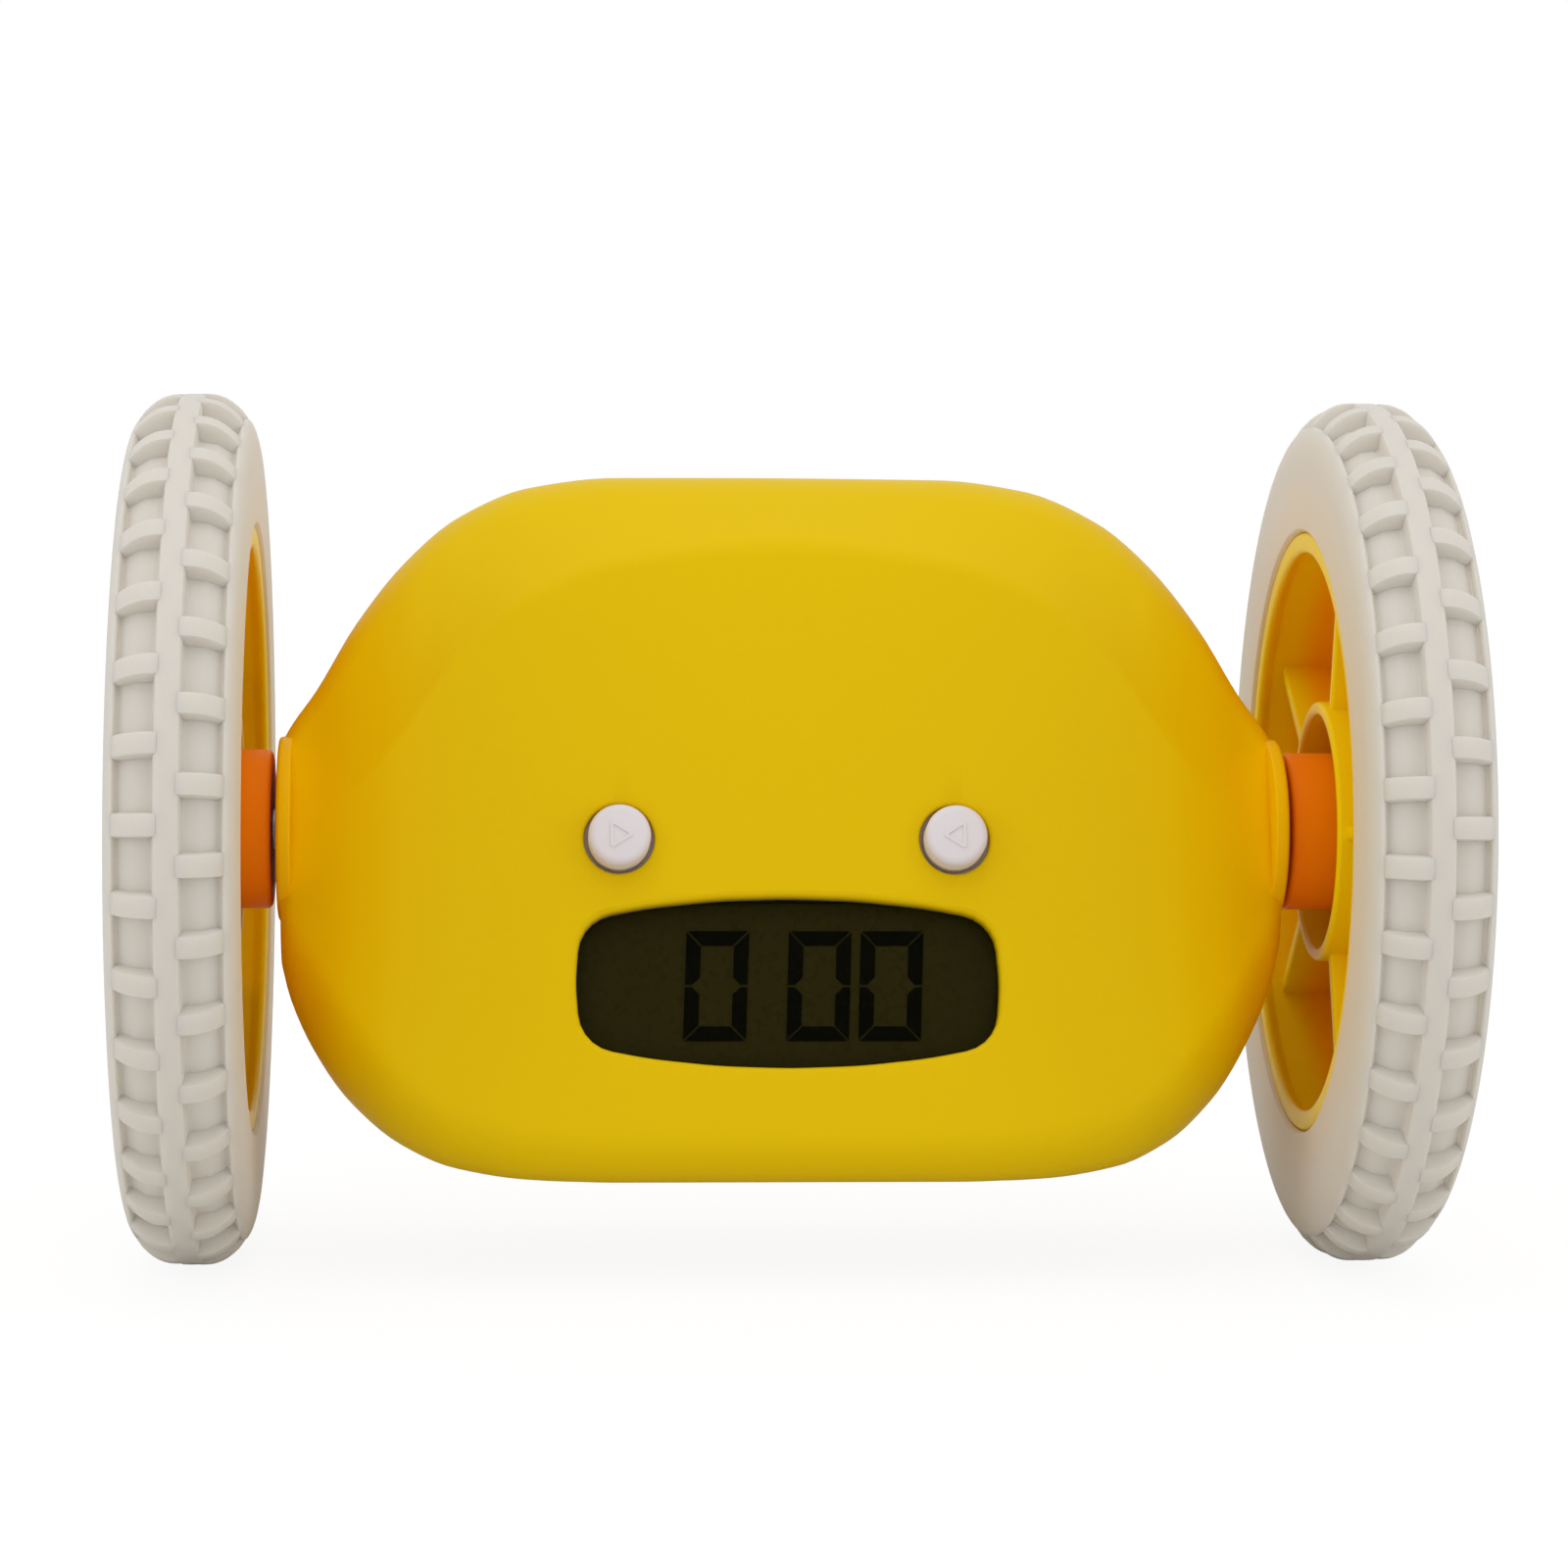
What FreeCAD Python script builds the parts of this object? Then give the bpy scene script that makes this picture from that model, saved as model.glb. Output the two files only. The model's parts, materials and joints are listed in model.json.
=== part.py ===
"""Runaway alarm clock: a moulded body slung between two large motor-driven wheels.

Millimetres. +Z is up, the face looks to -Y, and X runs from wheel to wheel.
The origin is on the floor, midway between the wheels and under the axle line.
Heights in the body are counted from the axle line, which is one wheel radius up.
"""
import FreeCAD, Part
import math
import os

V = FreeCAD.Vector

# Wheels and tyres
wheel_radius = 44.5
wheel_plane_x = 60.1
tyre_width = 12.6
tyre_bore_radius = 31.0
shoulder_drop = 3.2
tread_depth = 2.1
centre_rib_width = 2.4
lugs_per_row = 36
lug_length = 2.5
lug_reach = 5.5
rim_lip_radius = 31.2
rim_lip_width = 2.8
rim_lip_recess = 0.4
rim_wall = 1.4
rim_web = 1.6
rim_web_recess = 2.6
hub_ring_radius = 13.5
hub_ring_wall = 1.3
rim_ribs = 5
rim_rib_width = 1.4
rim_rib_first_angle = 76.0
hub_boss_radius = 6.0
sleeve_radius = 8.15
sleeve_depth = 6.2
hub_cap_radius = 9.5
hub_cap_height = 2.2

# Body, heights counted from the axle line
body_half_width = 51.2
body_wall = 2.0
seat_gap = 0.2
face_forward = 11.0
face_lean = 16.0
base_drop = 34.2
parting_y = 12.0
lip_length = 1.6
lip_clearance = 0.1
end_boss_radius = 9.5
end_boss_height = 0.4
wheel_gap = 0.3

# Stations of the body from its middle to its end. Each row holds the distance from
# the middle, the height of the top, the drop of the bottom, the height of the crease
# over the face, how far the face draws back, where the back lies, and the radii of
# the crease and of the front bottom edge.
body_stations = [
    (0.0, 36.0, 34.4, 29.8, 0.0, 23.0, 4.0, 4.5),
    (17.0, 35.9, 34.4, 27.9, 0.0, 23.0, 4.0, 4.5),
    (26.0, 34.6, 33.9, 24.4, 0.0, 23.0, 4.5, 4.8),
    (33.5, 31.2, 32.7, 18.0, 0.1, 21.6, 5.5, 5.6),
    (39.0, 26.4, 30.6, 10.2, 0.7, 20.0, 7.5, 7.0),
    (44.0, 20.0, 27.2, 4.6, 2.2, 17.6, 8.5, 8.6),
    (48.0, 14.0, 22.6, 1.6, 4.2, 14.6, 8.0, 9.0),
    (50.4, 10.6, 17.4, 0.6, 5.6, 11.8, 6.5, 7.4),
    (51.2, 9.2, 14.2, 0.4, 6.4, 10.4, 5.5, 6.0),
]
crown_start = 7.0
crown_radius = 10.0
top_rear_radius = 12.6
bottom_rear_radius = 6.0

# Display, in the plane of the face
window_width = 42.4
window_height = 17.2
window_drop = 15.6
window_side_height = 12.8
window_side_bulge = 0.5
window_corner = 4.2
window_bevel = 0.6
window_bevel_depth = 0.7
pane_thickness = 0.9
pane_flange = 1.2
pane_recess = 0.9
pane_clearance = 0.12
lcd_width = 45.0
lcd_height = 19.0
lcd_thickness = 2.0
strip_height = 0.9
strip_width = 1.8
frame_border = 1.2
board_thickness = 1.0
board_half_width = 26.2
board_top = 5.4
board_bottom = 29.6
board_post_radius = 1.6
board_post_top = (23.6, 3.4)
board_post_low = 28.2

# Front buttons
button_spacing = 34.0
button_radius = 3.15
button_hole_clearance = 0.45
button_proud = 2.5
button_edge = 0.6
button_flange_radius = 4.4
button_flange = 0.7
button_travel = 0.6
switch_side = 4.5
switch_plunger_radius = 1.0
switch_plunger_height = 0.2

# Drive: gear centres are (y, z) from the axle line
gear_module = 0.5
output_teeth = 26
compound_small_teeth = 10
compound_large_teeth = 30
pinion_teeth = 9
tooth_share = 0.40
tooth_top = 0.45
tooth_root = 0.62
compound_angle = 65.8
motor_angle = -84.6
shaft_radius = 2.0
shaft_start_x = 33.2
gear_pin_radius = 0.75
running_clearance = 0.05
frame_plate = 1.5
frame_inner_x = 27.0
frame_outer_x = 39.0
gear_gap = 0.9
first_gear_width = 2.8
output_gear_width = 3.5
pillar_radius = 1.5
frame_foot = 4.0
bush_radius = 3.5
bush_length = 6.0
bush_seat_wall = 1.8

# Motors
motor_radius = 7.5
motor_flats = 12.0
motor_length = 20.0
motor_can_wall = 0.8
motor_neck_radius = 3.0
rotor_shaft_radius = 1.0
armature_radius = 4.8
armature_slot_radius = 1.3
armature_length = 12.0
armature_slots = 3

# Batteries and bottom cover
cell_radius = 5.15
cell_length = 44.5
cell_nub_length = 0.8
cell_nub_radius = 1.9
cell_clearance = 0.1
cell_pitch = 10.4
cell_block_y = 4.8
tray_wall = 1.0
contact_thickness = 0.4
contact_room = 2.5
cover_thickness = 1.6
cover_half_width = 31.0
cover_front = 12.2
cover_rear = 16.6
cover_corner = 4.0
cover_gap = 0.15
door_ledge = 0.5
door_gap = 0.15
latch_width = 9.0
latch_depth = 3.0
latch_recess = 0.8
door_grips = 3
door_grip_half = 6.0

# Back of the body
speaker_x = -14.0
speaker_rise = 6.0
speaker_radius = 11.0
speaker_depth = 4.2
speaker_hole_radius = 0.8
speaker_hole_pitch = 3.0
speaker_hole_rings = 3
speaker_seat_wall = 1.2
speaker_seat_height = 1.6
set_button_x = (8.0, 20.0)
set_button_rise = 11.0
set_button_radius = 3.0
set_button_proud = 1.2
set_button_clearance = 0.25
set_button_flange = 0.8
set_button_edge = 0.4
slide_x = 14.0
slide_rise = 0.0
slide_travel = 3.0
slide_knob_width = 4.0
slide_knob_height = 2.6
slide_knob_proud = 1.0
slide_clearance = 0.2
rear_board_gap = 5.2
rear_board_size = (24.0, 18.0)
rear_board_post_radius = 1.3

# Screws
case_screw_x = 31.0
case_screw_rise = 23.0
case_screw_drop = 24.0
screw_boss_radius = 3.0
screw_shank_radius = 1.2
screw_head_radius = 2.4
screw_head_height = 1.6
screw_head_clearance = 0.3
screw_recess = 4.0
screw_grip = 7.0
cover_screw_x = 28.4
cover_screw_y = 2.0
cover_screw_floor = 0.7
cover_screw_length = 6.0
wheel_screw_head_radius = 3.2

# Worked out from the sizes above
axle_z = wheel_radius
lean = math.radians(face_lean)
tyre_inner_x = wheel_plane_x - tyre_width / 2
tyre_outer_x = wheel_plane_x + tyre_width / 2
body_end_x = body_half_width + end_boss_height
sleeve_start_x = body_end_x + wheel_gap
sleeve_end_x = sleeve_start_x + sleeve_depth
rim_lip_x = tyre_inner_x + rim_lip_recess
web_outer_x = tyre_outer_x - rim_web_recess
web_inner_x = web_outer_x - rim_web
board_front_w = -(body_wall + pane_thickness + lcd_thickness + strip_height)
board_back_w = board_front_w - board_thickness
shaft_end_x = web_outer_x - 0.8


def polar(radius, degrees):
    """A point (y, z) at a radius and angle about the axle line."""
    turn = math.radians(degrees)
    return (radius * math.cos(turn), radius * math.sin(turn))


def pitch_radius(teeth):
    return gear_module * teeth / 2


output_reach = pitch_radius(output_teeth) + pitch_radius(compound_small_teeth)
compound_centre = polar(output_reach, compound_angle)
motor_reach = pitch_radius(compound_large_teeth) + pitch_radius(pinion_teeth)
motor_step = polar(motor_reach, motor_angle)
motor_centre = (compound_centre[0] + motor_step[0], compound_centre[1] + motor_step[1])


# Plain solids

def box(x0, x1, y0, y1, z0, z1):
    """A block between two corners, with z counted from the axle line."""
    return Part.makeBox(x1 - x0, y1 - y0, z1 - z0, V(x0, y0, axle_z + z0))


def rod_x(radius, x0, x1, centre=(0.0, 0.0)):
    """A rod along X about a point (y, z) from the axle line."""
    return Part.makeCylinder(radius, x1 - x0, V(x0, centre[0], axle_z + centre[1]), V(1, 0, 0))


def rod_y(radius, y0, y1, x, z):
    return Part.makeCylinder(radius, y1 - y0, V(x, y0, axle_z + z), V(0, 1, 0))


def rod_z(radius, z0, z1, x, y):
    return Part.makeCylinder(radius, z1 - z0, V(x, y, axle_z + z0), V(0, 0, 1))


def turned(points):
    """A solid turned about the axle line from (x, radius) points."""
    corners = [V(x, 0, axle_z + radius) for x, radius in points]
    outline = Part.makePolygon(corners + corners[:1])
    return Part.Face(outline).revolve(V(0, 0, axle_z), V(1, 0, 0), 360)


def fused(solids):
    """One solid from several that overlap or touch."""
    whole = solids[0].fuse(solids[1:]).removeSplitter()
    return whole


def mirrored(shape):
    return shape.mirror(V(0, 0, 0), V(1, 0, 0))


def on_face(shape):
    """Move a shape from the face's own frame (x, up the face, outwards) to its place."""
    place = FreeCAD.Placement(V(0, -face_forward, axle_z), FreeCAD.Rotation(V(1, 0, 0), 90 - face_lean))
    moved = shape.copy()
    moved.Placement = place.multiply(moved.Placement)
    return moved


def face_block(x0, x1, v0, v1, w0, w1):
    return on_face(Part.makeBox(x1 - x0, v1 - v0, w1 - w0, V(x0, v0, w0)))


def face_rod(radius, x, v, w0, w1):
    return on_face(Part.makeCylinder(radius, w1 - w0, V(x, v, w0)))


def export(node, shape):
    shape.exportStep("parts/" + node + ".step")
    print(node, len(shape.Solids), "solid(s), volume", round(shape.Volume, 1), "valid", shape.isValid())


# Body form

def corner_arc(before, corner, after, radius):
    """Start, middle and end of the arc that rounds one corner of an outline."""
    to_before = (before - corner).normalize()
    to_after = (after - corner).normalize()
    half_angle = to_before.getAngle(to_after) / 2
    reach = radius / math.tan(half_angle)
    middle = (to_before + to_after).normalize()
    middle_reach = radius / math.sin(half_angle) - radius
    return corner + to_before * reach, corner + middle * middle_reach, corner + to_after * reach


def rounded_wire(corners, radii):
    """A closed wire of straight runs and arcs through rounded corners."""
    count = len(corners)
    arcs = []
    for i in range(count):
        arcs.append(corner_arc(corners[i - 1], corners[i], corners[(i + 1) % count], radii[i]))
    edges = []
    for i, (start, middle, end) in enumerate(arcs):
        edges.append(Part.Arc(start, middle, end).toShape())
        edges.append(Part.LineSegment(end, arcs[(i + 1) % count][0]).toShape())
    return Part.Wire(edges)


def drawn_in(corners, inset):
    """The corners of a convex outline in the YZ plane, each side moved inwards."""
    count = len(corners)
    middle = sum(corners, V()) * (1.0 / count)
    sides = []
    for i in range(count):
        start = corners[i]
        along = (corners[(i + 1) % count] - start).normalize()
        inward = V(0, -along.z, along.y)
        if inward.dot(middle - start) < 0:
            inward = inward * -1
        sides.append((start + inward * inset, along))
    moved = []
    for i in range(count):
        (p, u), (q, v) = sides[i - 1], sides[i]
        step = ((q - p).y * v.z - (q - p).z * v.y) / (u.y * v.z - u.z * v.y)
        moved.append(p + u * step)
    return moved


def body_section(station, side, inset):
    """One section of the body across X, inset by a share of the wall."""
    x, top, bottom, crease, draw_back, rear, crease_radius, foot_radius = station
    scale = (top + bottom) / (body_stations[0][1] + body_stations[0][2])
    x_place = side * x * (body_half_width - inset) / body_half_width
    face_y = -face_forward + draw_back

    def at(y, z):
        return V(x_place, y, axle_z + z)

    corners = [
        at(face_y - bottom * math.tan(lean), -bottom),
        at(face_y + crease * math.tan(lean), crease),
        at(crown_start * rear / body_stations[0][5], top),
        at(rear, top),
        at(rear, -bottom),
    ]
    radii = [foot_radius, crease_radius, crown_radius * scale, top_rear_radius * scale,
             bottom_rear_radius + (1 - scale) * 4]
    radii = [max(radius - inset, 1.0) for radius in radii]
    return rounded_wire(drawn_in(corners, inset), radii)


def body_form(inset):
    """The whole body as one smooth solid, with its base cut flat."""
    left = [body_section(station, -1, inset) for station in reversed(body_stations[1:])]
    right = [body_section(station, 1, inset) for station in body_stations]
    form = Part.makeLoft(left + right, True, False)
    reach = 2 * body_half_width
    return form.cut(box(-reach, reach, -reach, reach, -reach, inset - base_drop))


def window_outline(grow, w):
    """The display opening, bulged above and below and a little at the sides."""
    half = window_width / 2 + grow
    half_side = window_side_height / 2 + grow
    tall = window_height / 2 + grow
    low_left = V(-half + window_side_bulge, -half_side - window_drop, w)
    low_right = V(half - window_side_bulge, -half_side - window_drop, w)
    high_right = V(half - window_side_bulge, half_side - window_drop, w)
    high_left = V(-half + window_side_bulge, half_side - window_drop, w)
    edges = [
        Part.Arc(low_left, V(0, -tall - window_drop, w), low_right).toShape(),
        Part.Arc(low_right, V(half, -window_drop, w), high_right).toShape(),
        Part.Arc(high_right, V(0, tall - window_drop, w), high_left).toShape(),
        Part.Arc(high_left, V(-half, -window_drop, w), low_left).toShape(),
    ]
    return Part.Wire(edges)


def window_plug(grow, w0, w1, corner):
    """A plate with the outline of the display opening and round corners."""
    plate = Part.Face(window_outline(grow, w0)).extrude(V(0, 0, w1 - w0))
    upright = [edge for edge in plate.Edges if abs(edge.tangentAt(edge.FirstParameter).z) > 0.99]
    return plate.makeFillet(corner, upright)


def window_cut():
    """The opening through the wall and the bevel round its outer edge."""
    through = window_plug(0, -2 * body_wall, body_wall, window_corner)
    steps = 3
    bevel = []
    for i in range(steps):
        share = (i + 0.5) / steps
        grow = window_bevel * (1 - math.sqrt(1 - share * share))
        depth = -window_bevel_depth * (1 - share)
        bevel.append(window_plug(grow, depth, body_wall, window_corner + grow))
    return on_face(fused([through] + bevel))


outer_form = body_form(0)
inner_form = body_form(body_wall)
half_wall_form = body_form(body_wall / 2)
lip_form = body_form(body_wall / 2 + lip_clearance)
clear_form = body_form(body_wall + seat_gap)
far = 2 * body_half_width


def front_of(y):
    return box(-far, far, -far, y, -far, far)


def behind(y):
    return box(-far, far, y, far, -far, far)


def end_boss(side):
    """The round boss that the wheel's sleeve turns against, with the bush seat inside."""
    boss = rod_x(end_boss_radius, body_half_width - 1.2 * body_wall, body_end_x)
    seat = rod_x(bush_radius + bush_seat_wall, body_end_x - bush_length, body_end_x)
    whole = boss.fuse(seat)
    return whole if side > 0 else mirrored(whole)


def bush_hole(side):
    hole = rod_x(bush_radius, body_end_x - 2 * bush_length, body_end_x + 1)
    return hole if side > 0 else mirrored(hole)


def screw_places():
    return [(side * case_screw_x, z) for side in (-1, 1) for z in (case_screw_rise, -case_screw_drop)]


def cover_opening(gap, z0, z1):
    """The rounded panel of the bottom cover, or the opening that it sits in."""
    panel = box(-cover_half_width - gap, cover_half_width + gap, -cover_front - gap, cover_rear + gap, z0, z1)
    upright = [edge for edge in panel.Edges if abs(edge.tangentAt(edge.FirstParameter).z) > 0.99]
    return panel.makeFillet(cover_corner + gap, upright)


def cover_screw_places():
    return [(side * cover_screw_x, cover_screw_y) for side in (-1, 1)]


def board_posts():
    """Posts on the inside of the face that carry the main board."""
    places = [(-board_post_top[0], board_post_top[1]), board_post_top, (0.0, -board_post_low)]
    return [face_rod(board_post_radius, x, v, board_front_w, -body_wall / 2) for x, v in places]


frame_foot_low = (-8.0, -8.6)
frame_foot_high = (-1.0, 12.6)
frame_foot_x = frame_outer_x - 2.6


def frame_posts():
    """Posts on the inside of the front shell that the two gear frames stand on."""
    posts = []
    for side in (-1, 1):
        for y, z in (frame_foot_low, frame_foot_high):
            posts.append(rod_y(frame_foot / 2, -4 * face_forward, y, side * frame_foot_x, z))
    return posts


def front_shell():
    shell = outer_form.cut(inner_form)
    shell = shell.fuse([end_boss(-1), end_boss(1)])
    shell = shell.common(front_of(parting_y))
    rebate_zone = box(-far, far, parting_y - lip_length - lip_clearance, parting_y,
                      -far, far)
    shell = shell.cut(half_wall_form.common(rebate_zone))
    inside = []
    for x, z in screw_places():
        inside.append(rod_y(screw_boss_radius, -4 * face_forward, parting_y, x, z))
    inside += frame_posts()
    seated = [post.common(half_wall_form) for post in inside]
    shell = shell.fuse(seated + board_posts())
    holes = [window_cut(), bush_hole(-1), bush_hole(1)]
    for side in (-1, 1):
        hole_radius = button_radius + button_hole_clearance
        holes.append(face_rod(hole_radius, side * button_spacing / 2, 0, -2 * body_wall, body_wall))
    for x, z in screw_places():
        holes.append(rod_y(screw_shank_radius, parting_y - screw_grip, parting_y + 1, x, z))
    holes.append(cover_opening(cover_gap, -2 * base_drop, -base_drop + 2 * body_wall))
    return shell.cut(holes).removeSplitter()


def speaker_holes():
    """Sound holes in rings about the speaker's centre."""
    holes = []
    for ring in range(speaker_hole_rings):
        count = max(1, 6 * ring)
        for i in range(count):
            y, z = polar(ring * speaker_hole_pitch, 360.0 * i / count)
            holes.append(rod_y(speaker_hole_radius, parting_y, 2 * far, speaker_x + y, speaker_rise + z))
    return holes


def rear_inner_y():
    return body_stations[0][5] - body_wall


def rear_seat_y():
    """Where the pieces behind the back wall start, just clear of the wall."""
    return rear_inner_y() - seat_gap


def rear_post_places():
    half_x = rear_board_size[0] / 2 - rear_board_post_radius
    middle_z = (set_button_rise + slide_rise) / 2
    half_z = rear_board_size[1] / 2 - rear_board_post_radius
    return [(slide_x - half_x, middle_z - half_z), (slide_x + half_x, middle_z - half_z),
            (slide_x, middle_z + half_z)]


def rear_shell():
    shell = outer_form.cut(inner_form).common(behind(parting_y))
    lip_zone = box(-far, far, parting_y - lip_length, parting_y, -far, far)
    lip = lip_form.cut(inner_form).common(lip_zone)
    shell = shell.fuse(lip)
    inside = []
    for x, z in screw_places():
        inside.append(rod_y(screw_boss_radius, parting_y, 4 * parting_y, x, z).common(half_wall_form))
    for x, z in rear_post_places():
        post = rod_y(rear_board_post_radius, rear_inner_y() - rear_board_gap, rear_inner_y() + body_wall / 2, x, z)
        inside.append(post)
    ring = rod_y(speaker_radius + speaker_seat_wall, rear_inner_y() - speaker_seat_height,
                 rear_inner_y() + body_wall / 4, speaker_x, speaker_rise)
    inside.append(ring.cut(rod_y(speaker_radius + 0.1, 0, far, speaker_x, speaker_rise)))
    shell = shell.fuse(inside)
    holes = speaker_holes()
    outer_y = body_stations[0][5]
    for x, z in screw_places():
        holes.append(rod_y(screw_shank_radius, parting_y - 1, outer_y, x, z))
        holes.append(rod_y(screw_head_radius + screw_head_clearance, outer_y - screw_recess, outer_y + 9, x, z))
    for x in set_button_x:
        holes.append(rod_y(set_button_radius + set_button_clearance, parting_y, outer_y + 9, x, set_button_rise))
    slot = slide_travel + slide_knob_width + 2 * slide_clearance
    slot_low = slide_rise - slide_knob_height / 2 - slide_clearance
    slot_high = slide_rise + slide_knob_height / 2 + slide_clearance
    holes.append(box(slide_x - slot / 2, slide_x + slot / 2, parting_y, outer_y + 9, slot_low, slot_high))
    holes.append(cover_opening(cover_gap, -2 * base_drop, -base_drop + 2 * body_wall))
    return shell.cut(holes).removeSplitter()


# Bottom cover, battery tray and door

tray_half_x = cell_length / 2 + contact_room
tray_half_y = 2 * cell_radius + 2 * cell_clearance + 0.1
cover_top = -base_drop + cover_thickness
cell_low_z = cover_top + cell_radius + cell_clearance
tray_top = cell_low_z + cell_pitch + cell_radius + cell_clearance


def tray_block(grow, z0, z1):
    return box(-tray_half_x - grow, tray_half_x + grow, cell_block_y - tray_half_y - grow,
               cell_block_y + tray_half_y + grow, z0, z1)


def latch_block(gap, z0, z1):
    front = cell_block_y - tray_half_y - door_ledge
    return box(-latch_width / 2 - gap, latch_width / 2 + gap, front - latch_depth - gap, front + 1, z0, z1)


def bottom_cover():
    panel = cover_opening(0, -base_drop, cover_top)
    low = -base_drop - 1
    panel = panel.cut([tray_block(door_ledge, low, cover_top), latch_block(0, low, cover_top - latch_recess)])
    tray = tray_block(tray_wall, cover_top, tray_top + tray_wall).cut(tray_block(0, cover_top, tray_top))
    cover = panel.fuse(tray)
    shanks = [rod_z(screw_shank_radius, -2 * base_drop, 0, x, y) for x, y in cover_screw_places()]
    heads = [rod_z(screw_head_radius + screw_head_clearance, low, cover_top - cover_screw_floor, x, y) for x, y in cover_screw_places()]
    return cover.cut(shanks + heads).removeSplitter()


def battery_door():
    panel = tray_block(door_ledge - door_gap, -base_drop, cover_top)
    latch = latch_block(-door_gap, -base_drop, cover_top - latch_recess - door_gap)
    grip = []
    for i in range(door_grips):
        y = cell_block_y + 0.3 * tray_half_y - 1.6 * i
        grip.append(box(-door_grip_half, door_grip_half, y, y + 0.7, -base_drop - 1, -base_drop + 0.5))
    return panel.fuse(latch).cut(grip).removeSplitter()


def cells():
    """Four cells in two layers, with every second one turned end for end."""
    group = {}
    half = cell_length / 2
    for row in range(2):
        for layer in range(2):
            centre = (cell_block_y + (row - 0.5) * 2 * (cell_radius + cell_clearance),
                      cell_low_z + layer * cell_pitch)
            can = rod_x(cell_radius, -half, half - cell_nub_length, centre)
            ring = [edge for edge in can.Edges if edge.Closed]
            can = can.makeFillet(0.5, ring)
            cell = can.fuse(rod_x(cell_nub_radius, half - 2 * cell_nub_length, half, centre)).removeSplitter()
            if (row + layer) % 2:
                cell = cell.mirror(V(0, 0, 0), V(1, 0, 0))
            group[(row, layer)] = cell
    return group


def battery_contacts():
    """Sprung leaf contacts between the cell ends and the tray's end walls."""
    leaves = []
    outer = tray_half_x - 0.01
    touch = cell_length / 2
    thick = contact_thickness
    for side in (-1, 1):
        for row in range(2):
            y = cell_block_y + (row - 0.5) * 2 * (cell_radius + cell_clearance)
            for layer in range(2):
                z = axle_z + cell_low_z + layer * cell_pitch
                path = [(outer, -4.0), (outer, 4.0), (outer - thick, 4.0), (outer - thick, -2.6),
                        (touch + thick, 0.6), (touch, 0.6), (touch, 0.0), (outer - thick, -3.8),
                        (outer - thick, -4.0)]
                corners = [V(side * x, y - 1.8, z + rise) for x, rise in path]
                leaf = Part.Face(Part.makePolygon(corners + corners[:1]))
                leaves.append(leaf.extrude(V(0, 3.6, 0)))
    return Part.makeCompound(leaves)


# Display and front controls

def display_pane():
    flange = window_plug(pane_flange, -body_wall - pane_thickness, -body_wall - seat_gap,
                         window_corner + pane_flange)
    pad = window_plug(-pane_clearance, -body_wall - pane_thickness, -pane_recess, window_corner - pane_clearance)
    return on_face(flange.fuse(pad).removeSplitter())


lcd_front_w = -body_wall - pane_thickness
lcd_back_w = lcd_front_w - lcd_thickness


def lcd_panel():
    """Two glass plates, the front one shorter so that its lower edge bares the contacts."""
    v0 = -window_drop - lcd_height / 2
    v1 = -window_drop + lcd_height / 2
    half = lcd_width / 2
    front = face_block(-half, half, v0, v1, lcd_front_w - lcd_thickness / 2, lcd_front_w)
    back = face_block(-half, half, v0 + strip_width + 0.4, v1, lcd_back_w, lcd_front_w - lcd_thickness / 2)
    return front.fuse(back).removeSplitter()


def contact_strip():
    v0 = -window_drop - lcd_height / 2 + 0.1
    half = lcd_width / 2 - 3
    return face_block(-half, half, v0, v0 + strip_width, board_front_w, lcd_front_w - lcd_thickness / 2)


def lcd_frame():
    """The frame that presses the display on the board."""
    gap = 0.1
    half = lcd_width / 2 + gap
    tall = lcd_height / 2 + gap
    outer = face_block(-half - frame_border, half + frame_border, -window_drop - tall - frame_border,
                       -window_drop + tall + frame_border, board_front_w, lcd_front_w)
    inner = face_block(-half, half, -window_drop - tall, -window_drop + tall, board_front_w - 1, lcd_front_w + 1)
    return outer.cut(inner)


def main_board():
    plate = face_block(-board_half_width, board_half_width, -board_bottom, board_top, board_back_w, board_front_w)
    chip = face_block(-4, 4, -24, -18, board_back_w - 0.1, board_back_w)
    return plate.fuse(chip).removeSplitter()


def front_button(side):
    """A round button with a soft front edge and a flange behind the wall."""
    x = side * button_spacing / 2
    cap = Part.makeCylinder(button_radius, button_proud + body_wall, V(x, 0, -body_wall))
    rim = [edge for edge in cap.Edges if edge.Closed and edge.BoundBox.ZMin > 0]
    cap = cap.makeFillet(button_edge, rim)
    flange = Part.makeCylinder(button_flange_radius, button_flange, V(x, 0, -body_wall - button_flange))
    return on_face(cap.fuse(flange).removeSplitter())


def front_switch(side):
    """A push switch on the main board, under its button."""
    x = side * button_spacing / 2
    plunger_top = -body_wall - button_flange - button_travel - 0.05
    case_top = plunger_top - switch_plunger_height
    half = switch_side / 2
    case = face_block(x - half, x + half, -half, half, board_front_w, case_top)
    plunger = face_rod(switch_plunger_radius, x, 0, case_top - 0.5, plunger_top)
    return case.fuse(plunger).removeSplitter()


# Rear controls and speaker

rear_board_y = rear_inner_y() - rear_board_gap


def rear_board():
    middle_z = (set_button_rise + slide_rise) / 2
    half_x = rear_board_size[0] / 2
    half_z = rear_board_size[1] / 2
    return box(slide_x - half_x, slide_x + half_x, rear_board_y - board_thickness, rear_board_y,
               middle_z - half_z, middle_z + half_z)


def set_button(x):
    outer_y = body_stations[0][5]
    stem = rod_y(set_button_radius, rear_seat_y() - 0.01, outer_y + set_button_proud, x, set_button_rise)
    rim = [edge for edge in stem.Edges if edge.Closed and edge.BoundBox.YMin > outer_y]
    stem = stem.makeFillet(set_button_edge, rim)
    flange = rod_y(set_button_radius + 1.0, rear_seat_y() - set_button_flange, rear_seat_y(), x, set_button_rise)
    return stem.fuse(flange).removeSplitter()


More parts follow.
